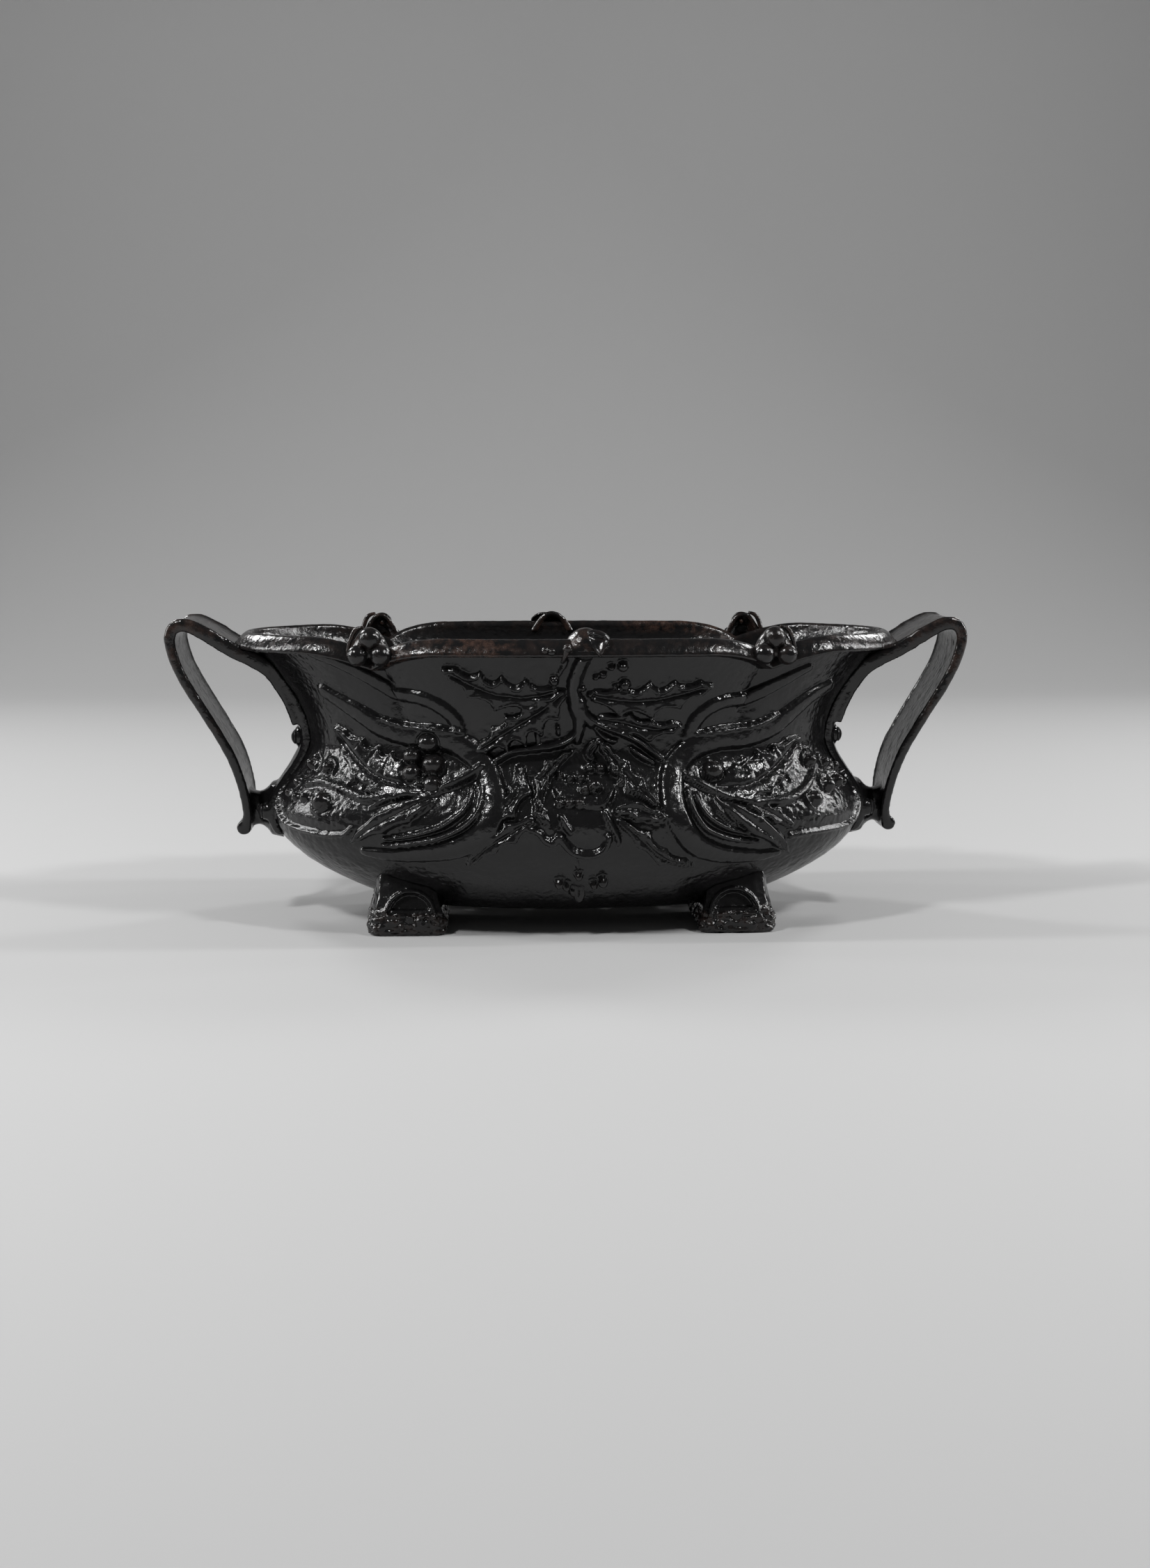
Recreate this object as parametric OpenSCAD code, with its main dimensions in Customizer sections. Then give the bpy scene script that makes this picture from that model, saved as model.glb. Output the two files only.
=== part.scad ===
// Oval jardiniere of cast iron: two half castings with holly ornament, a floor
// plate, two loop handles and four bracket feet, held by screws and square nuts.
// X runs along the length, the front looks along -Y, Z is up and the feet stand on Z = 0.

/* [Bowl] */
// Length of the bowl at its belly
belly_len = 314; // [280:1:350]
// Depth of the bowl at its belly, front to back
belly_dep = 172; // [156:1:200]
// Height of the belly above the floor
belly_z = 57; // [50:1:66]
// Length of the bowl at its waist
waist_len = 278; // [256:1:300]
// Depth of the bowl at its waist
waist_dep = 136; // [124:1:156]
// Height of the waist above the floor
waist_z = 96; // [88:1:104]
// Length of the oval rim over its lip
rim_len = 352; // [330:1:372]
// Depth of the oval rim over its lip
rim_dep = 168; // [156:1:190]
// Height of the top of the lip above the floor
rim_z = 152; // [142:1:164]
// Length of the flat underside
base_len = 196; // [180:1:220]
// Depth of the flat underside
base_dep = 116; // [104:1:130]
// Height of the flat underside above the floor
base_z = 12; // [10:0.5:18]
// Squareness of the oval, where 2 is a plain ellipse
squareness = 2.2; // [2:0.05:2.6]
// Thickness of the cast wall
wall = 4; // [3:0.25:5]
// How fast the neck flares towards the rim
flare = 1.8; // [1.4:0.1:2.4]

/* [Rim] */
// Height of the rolled lip
lip_h = 9; // [7:0.5:11]
// Width of the rolled lip, seen from above
lip_w = 9; // [7:0.5:11]
// Distance of the rim notches from the centre line
notch_x = 107; // [92:1:114]
// How far a notch cuts into the rim
notch_in = 9; // [4:0.5:12]
// How far the lip dips at a notch
notch_dip = 8; // [3:0.5:10]
// Width of a notch, in degrees of the oval
notch_span = 15; // [10:1:20]

/* [Ornament] */
// Width of the strapwork ribbon
ribbon_w = 12; // [9:0.5:14]
// Height of the strapwork ribbon over the wall
ribbon_h = 3; // [1.5:0.25:4]
// Height of the holly leaves over the wall
leaf_h = 2; // [1:0.25:3]
// Radius of the common berries
berry_r = 3.4; // [2.5:0.1:4.2]
// Radius of the three large berries in a rim notch
notch_ball_r = 5.5; // [4:0.1:6.5]
// Width of the thin beads
bead_w = 2.4; // [1.8:0.1:3.2]
// Height of the thin beads over the wall
bead_h = 1.6; // [1:0.1:2.4]

/* [Handles] */
// Overall length over both handles
handle_span = 420; // [400:1:440]
// Height of the top of the handles above the floor
handle_top = 160; // [154:1:172]
// Width of the handle strap, front to back
strap_w = 50; // [40:1:56]
// Thickness of the strap along the grip
grip_t = 5.2; // [4:0.2:6]
// Thickness of the strap where it leaves the bowl
root_t = 8.5; // [6:0.5:10]
// Width of the raised bead along both edges of the strap
edge_w = 3.5; // [2.5:0.25:5]
// Width of the end strap that lies on the bowl
spine_w = 34; // [30:1:40]
// Thickness of the end strap
spine_t = 4; // [3:0.25:5]
// Height of the lug that ties the grip to the belly
lug_h = 17; // [12:0.5:20]
// Width of that lug, front to back
lug_w = 13; // [9:0.5:15]

/* [Feet] */
// Distance of a foot's outer toe from the centre, along the length
foot_x = 105; // [100:1:108]
// Distance of a foot's front face from the centre, along the depth
foot_y = 67; // [62:1:72]
// Width of a foot at the floor
foot_w = 40; // [36:1:42]
// Depth of a foot, front to back
foot_d = 57; // [54:1:60]
// Height of the pebbled band at the bottom of a foot
band_h = 10; // [7:0.5:11]

/* [Floor plate] */
// Thickness of the floor plate
plate_t = 4; // [3:0.5:6]
// Thickness of the inner ledge under the floor plate
ledge_t = 4; // [3:0.5:6]
// Width of the inner ledge
ledge_w = 20; // [16:1:26]
// Radius of the drain holes
drain_r = 5; // [3:0.5:7]
// Distance between the drain holes
drain_pitch = 30; // [20:1:34]

/* [Fasteners] */
// Radius of the handle screws
screw_r = 2; // [1.5:0.1:2.5]
// Distance of the waist screws from the seam
waist_screw_y = 9; // [8.5:0.5:11]
// Distance of the belly screws from the seam
belly_screw_y = 12.5; // [12:0.5:13]
// Radius of the foot bolts
bolt_r = 2.5; // [2:0.1:3]
// Distance of the foot bolts from the centre, along the length
bolt_x = 80; // [78:1:82]
// Distance of the foot bolts from the centre, along the depth
bolt_y = 20; // [18:1:24]

/* [Clearances] */
// Gap between the two half castings
seam_gap = 0.3; // [0.1:0.1:1]
// Gap between a handle or a foot and the bowl
seat_gap = 0.3; // [0.2:0.1:0.6]
// Gap round a screw in its hole
hole_gap = 0.4; // [0.2:0.1:0.6]
// Gap between a screw and its nut
thread_gap = 0.1; // [0.05:0.05:0.2]
// Gap between the floor plate and the wall
plate_gap = 3; // [2:0.5:5]

/* [Hidden] */

iron = "#1d1d1f";
steel = "#4a4a4d";
notch_t = asin(pow(notch_x / (rim_len / 2), squareness / 2));

// The oval and the profile of the bowl
function smooth(u) = u * u * (3 - 2 * u);
function clamp(u) = min(1, max(0, u));
function profile(z, base, belly, waist, rim) =
    z <= belly_z ? base + (belly - base) * (1 - pow(1 - clamp((z - base_z) / (belly_z - base_z)), 2))
    : z <= waist_z ? belly + (waist - belly) * smooth((z - belly_z) / (waist_z - belly_z))
    : waist + (rim - waist) * pow((z - waist_z) / (rim_z - waist_z), flare);
function half_len(z) = profile(z, base_len, belly_len, waist_len, rim_len) / 2;
function half_dep(z) = profile(z, base_dep, belly_dep, waist_dep, rim_dep) / 2;
function oval(t, a, b) = [a * sign(sin(t)) * pow(abs(sin(t)), 2 / squareness),
                          -b * sign(cos(t)) * pow(abs(cos(t)), 2 / squareness)];

// How much of the rim's lobes shows at a height, and how deep a notch is at an angle
function lobe_share(z) = smooth(clamp((z - waist_z) / (rim_z - lip_h - waist_z)));
function fold(t) = let (q = abs(t) % 180) q > 90 ? 180 - q : q;
function notch(t) = pow(clamp(1 - abs(fold(t) - notch_t) / notch_span), 2);

// A row of the wall is [half length, half depth, height, share of the lobes]
function row_point(row, t) = let (o = oval(t, row[0] - notch_in * row[3] * notch(t),
                                           row[1] - notch_in * row[3] * notch(t)))
    [o.x, o.y, row[2] - notch_dip * row[3] * notch(t)];
function wall_row(z) = [half_len(z), half_dep(z), z, lobe_share(z)];

// Heights of the rows, from the underside to the underside of the lip
lip_z = rim_z - lip_h;
under_rows = 4;
side_rows = 4;
neck_rows = 3;
row_z = concat([for (i = [0:under_rows - 1]) base_z + (belly_z - base_z) * i / under_rows],
               [for (i = [0:side_rows - 1]) belly_z + (waist_z - belly_z) * i / side_rows],
               [for (i = [0:neck_rows]) waist_z + (lip_z - waist_z) * i / neck_rows]);

// The outer rows, grown by g on all sides
function lip_row(inset, z, g) = [rim_len / 2 - inset + g, rim_dep / 2 - inset + g, z, 1];
function outer_rows(g) = let (last = len(row_z) - 1) concat(
    [for (i = [0:last]) let (z = row_z[i], r = wall_row(z))
        [r[0] + g, r[1] + g, i == 0 || i == last ? z - g : z, r[3]]],
    [lip_row(lip_w * 0.1, lip_z + lip_h * 0.06 - g, g),
     lip_row(0, rim_z - lip_h * 0.5, g),
     lip_row(lip_w * 0.25, rim_z - lip_h * 0.1 + g, g),
     lip_row(lip_w * 0.55, rim_z + g, g)]);

// The inner rows, one wall behind the outer rows of these numbers, and the edge of the floor ledge
inner_numbers = concat([0, 2], [for (i = [under_rows:len(row_z) - 1]) i], [len(row_z) + 1, len(row_z) + 3]);
function slope(z) = (half_len(z + 0.5) - half_len(z - 0.5) + half_dep(z + 0.5) - half_dep(z - 0.5)) / 2;
function inner_row(z) = let (m = z > base_z ? slope(z) : slope(z + 0.5), k = wall / sqrt(1 + m * m))
    [half_len(z) - k, half_dep(z) - k, z + k * m, lobe_share(z)];
ledge_top_row = let (z = base_z + ledge_t, r = inner_row(base_z))
    [r[0] + (z - r[2]) / 3, r[1] + (z - r[2]) / 3, z, 0];
inner_rows = concat([ledge_top_row],
    [for (i = inner_numbers) if (i > 0 && i < len(row_z)) inner_row(row_z[i])],
    [lip_row(lip_w, rim_z - lip_h * 0.3, 0),
     lip_row(lip_w * 0.75, rim_z - lip_h * 0.03, 0)]);
ledge_rows = [[base_len / 2 - ledge_w, base_dep / 2 - ledge_w, base_z + ledge_t, 0],
              [base_len / 2 - ledge_w, base_dep / 2 - ledge_w, base_z, 0]];

// Columns round a half, from the left seam to the right seam
lobe_steps = 5;
end_steps = 8;
quarter = concat([for (i = [0:lobe_steps - 1]) notch_t * i / lobe_steps],
                 [for (i = [0:end_steps]) notch_t + (90 - notch_t) * i / end_steps]);
columns = concat([for (i = [len(quarter) - 1:-1:1]) -quarter[i]], quarter);
all_columns = concat(columns, [for (i = [1:len(columns) - 2]) 180 + columns[i]]);
// Columns near the right end, for the handle's seat, and round the front right corner, for a foot's seat
end_columns = let (n = len(quarter)) concat([for (i = [n - 4:n - 1]) quarter[i]],
                                            [for (i = [n - 2:-1:n - 4]) 180 - quarter[i]]);
corner_columns = [for (i = [2:len(quarter) - 1]) quarter[i]];

// Faces between sections of m points each, as triangles
function side_faces(m, sections, closed = false) =
    [for (j = [0:sections - (closed ? 1 : 2)], i = [0:m - 1])
        let (k = (j + 1) % sections, n = (i + 1) % m,
             a = j * m + i, b = j * m + n, c = k * m + n, d = k * m + i)
        each [[a, b, c], [a, c, d]]];
function fan(m, first) = [for (i = [1:m - 2]) [first, first + i, first + i + 1]];
function flipped(faces) = [for (f = faces) [f[2], f[1], f[0]]];

// A solid through sections that are each a convex ring of points
module loft(sections) {
    m = len(sections[0]);
    n = len(sections);
    polyhedron(points = [for (s = sections, p = s) p],
               faces = concat(side_faces(m, n), flipped(fan(m, 0)), fan(m, (n - 1) * m)));
}

// A sector of the bowl's outer form as one solid, grown by g, from the axis to the wall
module bowl_sector(g, angles, first_row, last_row) {
    rows = [for (i = [first_row:last_row]) outer_rows(g)[i]];
    top = rows[len(rows) - 1][2];
    loft([for (t = angles) concat([[0, 0, top], [0, 0, rows[0][2]]], [for (r = rows) row_point(r, t)])]);
}

// The hollow wall of the front half, with its lip and the ledge that carries the floor plate
module half_wall() {
    outer = outer_rows(0);
    no = len(outer);
    ni = len(inner_rows);
    m = no + ni + 2;
    n = len(columns);
    sections = [for (t = columns) concat([for (r = outer) row_point(r, t)],
                                         [for (i = [ni - 1:-1:0]) row_point(inner_rows[i], t)],
                                         [for (r = ledge_rows) row_point(r, t)])];
    // The cut end at a seam, between the inner rows and the outer rows before them
    end = concat([for (j = [0:ni - 2])
                      let (i = no + ni - 1 - j, o = inner_numbers[j], p = inner_numbers[j + 1] - 1)
                      each concat(p > o ? [[o, i, p]] : [], [[p, i, i - 1], [p, i - 1, p + 1]])],
                 [[0, m - 1, m - 2], [0, m - 2, m - 3]]);
    last = (n - 1) * m;
    polyhedron(points = [for (s = sections, p = s) p],
               faces = concat(side_faces(m, n), end,
                              [for (f = flipped(end)) [f[0] + last, f[1] + last, f[2] + last]]));
}

// Places on the wall are [girth, height]: girth is measured round the belly from the front centre.
// They are drawn for a bowl of these heights and this quarter girth, and follow the real one.
drawn_heights = [12, 57, 96, 152];
drawn_girth = 198;
real_heights = [base_z, belly_z, waist_z, rim_z];
height_table = [for (i = [0:3]) [drawn_heights[i], real_heights[i]]];
girth_steps = 30;
function belly_point(i) = oval(90 * i / girth_steps, belly_len / 2, belly_dep / 2);
function girth_to(i) = i == 0 ? 0 : girth_to(i - 1) + norm(belly_point(i) - belly_point(i - 1));
girth_table = [for (i = [0:girth_steps]) [girth_to(i), 90 * i / girth_steps]];
quarter_girth = girth_to(girth_steps);
function angle_at(girth) = sign(girth) * lookup(abs(girth) * quarter_girth / drawn_girth, girth_table);
function wall_point(t, z) = row_point(wall_row(z), t);
function wall_normal(t, z) =
    let (n = cross(wall_point(t + 0.5, z) - wall_point(t - 0.5, z),
                   wall_point(t, z + 0.5) - wall_point(t, z - 0.5))) n / norm(n);
function on_wall(p, h) = let (t = angle_at(p.x), z = lookup(p.y, height_table))
    wall_point(t, z) + h * wall_normal(t, z);

// Smooth path through points, with k steps between two of them
function at_end(pts, i) = pts[min(len(pts) - 1, max(0, i))];
function between(a, b, c, d, u) = 0.5 * (2 * b + (c - a) * u + (2 * a - 5 * b + 4 * c - d) * u * u
                                         + (3 * b - a - 3 * c + d) * u * u * u);
function path(pts, k) = concat([for (i = [0:len(pts) - 2], j = [0:k - 1])
        between(at_end(pts, i - 1), pts[i], pts[i + 1], at_end(pts, i + 2), j / k)], [pts[len(pts) - 1]]);
function side_of(pts, i) = let (d = at_end(pts, i + 1) - at_end(pts, i - 1)) [-d.y, d.x] / norm(d);

// How deep ornament is rooted in the wall
root_depth = 2.2;

// A rounded band on the wall, which thins out to share `tip` of its width at its end
module band(pts, width, height, steps = 1, tip = 0.4) {
    p = path(pts, steps);
    n = len(p) - 1;
    loft([for (i = [0:n]) let (s = side_of(p, i), u = i / n, k = 1 - (1 - tip) * u * u, w = width * k / 2,
                               h = height * k)
        [on_wall(p[i] - s * w, -root_depth), on_wall(p[i] - s * w * 0.75, h * 0.7),
         on_wall(p[i], h),
         on_wall(p[i] + s * w * 0.75, h * 0.7), on_wall(p[i] + s * w, -root_depth)]]);
}

// A thin bead or twig on the wall
module bead(pts, width = bead_w, height = bead_h, steps = 1) {
    p = path(pts, steps);
    loft([for (i = [0:len(p) - 1]) let (s = side_of(p, i))
        [on_wall(p[i] - s * width / 2, -root_depth), on_wall(p[i], height),
         on_wall(p[i] + s * width / 2, -root_depth)]]);
}

// A holly leaf on the wall, from its stalk over its middle to its tip, with spines along both edges
module leaf(pts, width, spines = 4) {
    n = 2 * spines;
    p = path(pts, n / (len(pts) - 1));
    loft([for (i = [0:n]) let (s = side_of(p, i), u = i / n,
                               w = 0.4 + width / 2 * pow(sin(180 * pow(u, 0.9)), 0.8) * (i % 2 == 1 ? 1 : 0.6))
        [on_wall(p[i] - s * w, -root_depth), on_wall(p[i] - s * w, leaf_h * 0.6),
         on_wall(p[i], leaf_h * 1.2),
         on_wall(p[i] + s * w, leaf_h * 0.6), on_wall(p[i] + s * w, -root_depth),
         on_wall(p[i], -root_depth)]]);
}

// Berries on the wall: each is [girth, height, radius over the common radius]
module berries(list) {
    for (b = list)
        translate(on_wall(b, berry_r * b[2] * 0.3)) sphere(berry_r * b[2], $fn = b[2] > 1.3 ? 8 : 6);
}

// A small bud, thick in its middle
module bud(foot, tip) {
    p = [for (u = [0, 0.3, 0.7, 1]) foot + (tip - foot) * u];
    loft([for (i = [0:3]) let (s = side_of(p, i), w = [1, 3, 2.4, 0.5][i], h = [0.8, 3.4, 2.6, 0.4][i])
        [on_wall(p[i] - s * w, -root_depth), on_wall(p[i] - s * w * 0.5, h), on_wall(p[i] + s * w * 0.5, h),
         on_wall(p[i] + s * w, -root_depth)]]);
}

// Ornament of the left panel
module left_panel() {
    band([[-124, 116], [-110, 106], [-92, 103], [-74, 101], [-58, 94], [-46, 82], [-41, 69], [-45, 57],
          [-57, 49], [-76, 45], [-98, 43]], ribbon_w, ribbon_h);
    band([[-64, 104], [-70, 113], [-84, 120], [-108, 133]], ribbon_w * 0.7, ribbon_h * 0.8, 2);
    bead([[-54, 77], [-56, 67], [-64, 60], [-78, 55], [-98, 52]]);
    bead([[-176, 74], [-178, 63], [-171, 56], [-150, 51], [-108, 53]]);
    leaf([[-84, 76], [-112, 84], [-141, 103]], 27, 5);
    leaf([[-76, 71], [-97, 64], [-119, 49]], 16, 3);
    bead([[-52, 84], [-84, 75], [-112, 71], [-134, 72], [-161, 83]], bead_w * 1.4, bead_h * 1.4);
    berries([[-163, 85, 0.9], [-147, 84, 1.1], [-151, 67, 0.8], [-137, 67, 1.4],
             [-83, 98, 1.4], [-92, 92, 1.35], [-78, 87, 1.6], [-90, 83, 1.4], [-76, 78, 1.35]]);
}

// Ornament of the right panel
module right_panel() {
    band([[134, 118], [121, 106], [104, 101], [84, 99], [68, 95], [56, 85], [51, 72], [53, 60],
          [62, 49], [78, 43], [99, 41]], ribbon_w, ribbon_h);
    band([[66, 101], [72, 112], [86, 119], [112, 131]], ribbon_w * 0.7, ribbon_h * 0.8, 2);
    bead([[63, 74], [66, 65], [76, 58], [92, 53], [104, 51]]);
    bead([[176, 78], [178, 66], [172, 56], [150, 50], [116, 50]]);
    leaf([[76, 77], [104, 78], [139, 98]], 27, 5);
    leaf([[76, 71], [96, 58], [120, 42]], 15, 3);
    bead([[62, 82], [95, 68], [113, 67], [128, 71], [145, 84]], bead_w * 1.4, bead_h * 1.4);
    berries([[79, 84, 1.45], [145, 85, 1.15], [157, 83, 0.95], [148, 72, 1.1], [160, 74, 0.9], [133, 67, 1]]);
}

// Ornament of the middle panel
module middle_panel() {
    band([[5, 146], [3, 134], [4, 119], [4, 104], [2, 98]], 9, 4.5, 1, 0.5);
    leaf([[-4, 127], [-34, 127], [-67, 139]], 15);
    leaf([[-2, 128], [-22, 114], [-53, 97]], 27, 5);
    leaf([[12, 121], [42, 120], [73, 127]], 19);
    leaf([[9, 98], [22, 87], [44, 68]], 15, 3);
    leaf([[-33, 92], [-30, 76], [-46, 56]], 15, 3);
    leaf([[-20, 63], [-38, 54], [-58, 39]], 12, 3);
    leaf([[22, 72], [44, 60], [68, 39]], 15, 3);
    bead([[3, 113], [-5, 100], [-20, 95], [-41, 91]], bead_w * 1.6, bead_h * 1.9);
    bead([[5, 118], [14, 111], [32, 103], [53, 88]], bead_w * 1.6, bead_h * 1.9);
    bead([[-20, 59], [-11, 54], [-3, 46], [8, 42], [17, 48], [15, 66]], bead_w * 1.4, bead_h * 1.9);
    bud([10, 107], [23, 100]);
    bud([33, 96], [44, 88]);
    bud([-8, 74], [-2, 60]);
    bud([-30, 101], [-41, 105]);
    bud([2, 39], [1, 47]);
    bud([54, 84], [56, 72]);
    berries([[21, 137, 1.2], [25, 128, 1.1], [12, 87, 1], [-2, 82, 1], [9, 78, 1.1], [4, 69, 1],
             [-8, 28, 1], [16, 28, 1.1], [5, 21, 1]]);
}

// Three large berries before a domed hood in each rim notch, as [along, out, up, share of their radius]
notch_berries = [[-5.9, 4.2, -4.6, 0.98], [5.9, 2.4, -4.8, 0.96], [-0.4, 0.6, 3.6, 1.05]];
module notch_cluster(side) {
    middle = [notch_x - 5, -rim_dep / 2 + notch_in + 11, rim_z - 4];
    for (b = notch_berries)
        translate([side * (middle.x + b[0]), middle.y - b[1], middle.z + b[2]]) sphere(notch_ball_r * b[3], $fn = 10);
    translate([side * middle.x, middle.y + 3, middle.z - 2])
        difference() {
            scale([9.5, 7.5, 11.5]) sphere(1, $fn = 12);
            translate([0, 4, -1]) scale([7, 7.5, 9.5]) sphere(1, $fn = 12);
        }
}

// The leaf tip that curls over the middle of the front lip
module rim_curl() {
    front = -rim_dep / 2;
    hull() {
        translate([3, front - 1, rim_z - 7]) sphere(4, $fn = 6);
        translate([2, front + 3, rim_z - 1]) sphere(4, $fn = 6);
    }
    hull() {
        translate([1, front + 3, rim_z - 1]) sphere(4, $fn = 6);
        translate([12, front + 2, rim_z - 1]) sphere(4.5, $fn = 6);
    }
}

// Pad inside the wall with a flat face for a nut, on the side given
pad_t = 3;
pad_r = 6;
function nut_face(z) = half_len(z) - wall - pad_t;
module nut_pad(side, y, z) {
    translate([side * nut_face(z), y, z]) rotate([0, side * 90, 0]) cylinder(h = pad_t + wall / 2, r = pad_r, $fn = 8);
}

// Screws sit at the waist and the belly, where the end wall is upright
screw_places = [for (y = [waist_screw_y, -waist_screw_y]) [y, waist_z],
                for (y = [belly_screw_y, -belly_screw_y]) [y, belly_z]];
module screw_holes(y_sign) {
    for (side = [-1, 1], p = screw_places)
        if (p[0] * y_sign > 0)
            translate([side * (half_len(p[1]) - wall * 2), p[0], p[1]]) rotate([0, side * 90, 0])
                cylinder(h = wall * 4, r = screw_r + hole_gap, $fn = 16);
}

// One half casting, drawn as the front one
module half_shell() {
    translate([0, -seam_gap / 2, 0])
        difference() {
            union() {
                half_wall();
                left_panel();
                right_panel();
                middle_panel();
                for (side = [-1, 1]) notch_cluster(side);
                rim_curl();
                for (side = [-1, 1], p = screw_places)
                    if (p[0] < 0) nut_pad(side, p[0], p[1]);
            }
            screw_holes(-1);
            for (side = [-1, 1])
                translate([side * bolt_x, -bolt_y, base_z - 1]) cylinder(h = ledge_t + 2, r = bolt_r + hole_gap, $fn = 16);
        }
}

module front_shell() { color(iron) half_shell(); }
module rear_shell() { color(iron) rotate([0, 0, 180]) half_shell(); }

// The floor of the bowl, with a row of drain holes
plate_z = base_z + ledge_t;
module base_plate() {
    a = base_len / 2 - plate_gap;
    b = base_dep / 2 - plate_gap;
    color(iron) translate([0, 0, plate_z])
        difference() {
            linear_extrude(plate_t) polygon([for (t = all_columns) oval(t, a, b)]);
            for (i = [-2:2])
                translate([i * drain_pitch, 0, -1]) cylinder(h = plate_t + 2, r = drain_r, $fn = 32);
            for (sx = [-1, 1], sy = [-1, 1])
                translate([sx * bolt_x, sy * bolt_y, -1]) cylinder(h = plate_t + 2, r = bolt_r + hole_gap, $fn = 24);
        }
}

// Centre line of the grip in the XZ plane, from the neck over the tip to the lug.
// Each station is [x, z, thickness, half width]; the tip follows handle_span and handle_top.
tip_x = handle_span / 2;
grip = [
    [half_len(lip_z - 17), lip_z - 19, root_t, spine_w / 2],
    [half_len(lip_z - 6), lip_z - 9, root_t, strap_w * 0.43],
    [rim_len / 2 + 1, lip_z + 1, root_t, strap_w * 0.47],
    [tip_x - 22, handle_top - 9, root_t * 0.95, strap_w / 2],
    [tip_x - 12, handle_top - 4.2, root_t * 0.9, strap_w / 2],
    [tip_x - 5.3, handle_top - 5.4, root_t * 0.82, strap_w / 2],
    [tip_x - 2.9, handle_top - 12, grip_t * 1.2, strap_w / 2],
    [tip_x - 5.4, handle_top - 23, grip_t * 1.12, strap_w / 2],
    [tip_x - 10.9, handle_top - 34.8, grip_t * 1.08, strap_w / 2],
    [tip_x - 21.7, handle_top - 52.8, grip_t * 1.04, strap_w * 0.48],
    [tip_x - 31.4, handle_top - 69.8, grip_t * 1.04, strap_w * 0.46],
    [belly_len / 2 + 16.6, belly_z + 20, grip_t * 1.04, strap_w * 0.42],
    [belly_len / 2 + 14.2, belly_z + 9, grip_t, strap_w * 0.36],
    [belly_len / 2 + 13, belly_z - 2, grip_t, strap_w * 0.31],
    [belly_len / 2 + 14.5, belly_z - 10, grip_t * 1.15, strap_w * 0.27]];

// Direction of the grip at a station
function grip_dir(i) = let (a = grip[max(0, i - 1)], b = grip[min(len(grip) - 1, i + 1)]) atan2(b[1] - a[1], b[0] - a[0]);

// Section of the strap at a station: a web with a raised bead along both edges
function strap_section(i) = let (g = grip[i], w = g[3], t = g[2] / 2, d = grip_dir(i), u = [cos(d), sin(d)],
                                 web = t * (i == 0 || i == len(grip) - 1 ? 1.08 : 0.65), e = edge_w,
                                 half = [[-w + e * 1.3, -web], [-w + e * 0.7, -t], [-w, -t * 0.4],
                                         [-w, t * 0.4], [-w + e * 0.7, t], [-w + e * 1.3, web]])
    [for (q = concat(half, [for (k = [5:-1:0]) [-half[k].x, half[k].y]]))
        [g[0] - u.y * q.y, q.x, g[1] + u.x * q.y]];
module strap() {
    loft([for (i = [0:len(grip) - 1]) strap_section(i)]);
}

// The end strap: a slice of the bowl's own form, grown to its thickness
spine_low = belly_z - lug_h / 2 - 4;
spine_high = lip_z - 12;
module spine() {
    intersection() {
        bowl_sector(seat_gap + spine_t, end_columns, 0, len(row_z) - 1);
        translate([half_len(waist_z) - 15, -spine_w / 2, spine_low])
            cube([belly_len / 2, spine_w, spine_high - spine_low]);
    }
}

// Flat seat for a screw head on the end strap
head_seat = 1;
function head_face(z) = half_len(z) + seat_gap + spine_t + head_seat;
module head_pad(y, z) {
    translate([half_len(z), y, z]) rotate([0, 90, 0])
        cylinder(h = seat_gap + spine_t + head_seat, r = 4.6, $fn = 24);
}

// A handle, drawn as the right one
module handle() {
    difference() {
        union() {
            strap();
            spine();
            translate([belly_len / 2 - 4, -lug_w / 2, belly_z - lug_h / 2]) cube([18, lug_w, lug_h]);
            for (p = screw_places) head_pad(p[0], p[1]);
        }
        bowl_sector(seat_gap, end_columns, 0, len(row_z) + 3);
        for (y_sign = [-1, 1]) screw_holes(y_sign);
    }
}

module right_handle() { color(iron) handle(); }
module left_handle() { color(iron) rotate([0, 0, 180]) handle(); }

// A bracket foot, drawn as the front right one. Its plan sections go from the floor up, each as
// [height, outer side over the toe, inner side, front over the front face, width of the front chamfers].
foot_top = base_z + 22;
foot_steps = [[0, -1.4, 1, 1.2, 6], [2, 0, 0, 0, 7], [band_h - 3.5, 0.2, -0.8, 0, 7.5], [band_h, -0.6, 0.8, 1, 8],
              [band_h + 4, -2, 2.6, 2.4, 8], [band_h + 8, -3.2, 3.8, 4, 7.5], [band_h + 14, -4.2, 4.8, 6.2, 7],
              [foot_top, -4.6, 5.4, 9.8, 6]];
function foot_section(q) =
    let (x1 = foot_x + q[1], x0 = foot_x - foot_w + q[2], y0 = -foot_y + q[3], y1 = -foot_y + foot_d, c = q[4])
    [for (p = [[x0 + 1, y1], [x1 - 1, y1], [x1, y1 - 1], [x1, y0 + c], [x1 - c * 0.3, y0 + c * 0.3],
               [x1 - c, y0], [x0 + c / 2, y0], [x0, y0 + c / 2], [x0, y1 - 1]]) [p.x, p.y, q[0]]];

// A flat drawing of the front of a foot, from its leaning face inwards to a depth and outwards to a height
module on_foot_front(depth, height) {
    lean = 0.37;
    multmatrix([[1, 0, 0, 0], [0, 1, lean, -foot_y + 1 - lean * band_h], [0, 0, 1, 0]])
        translate([0, depth, 0]) rotate([90, 0, 0]) linear_extrude(depth + height) children();
}

// The arched panel on the front of a foot, above its sill
module foot_arch(inset, sill) {
    r = foot_w / 3 - inset;
    translate([foot_x - foot_w * 0.55, band_h])
        intersection() {
            circle(r, $fn = 28);
            translate([-r, sill]) square([2 * r, r]);
        }
}

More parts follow.
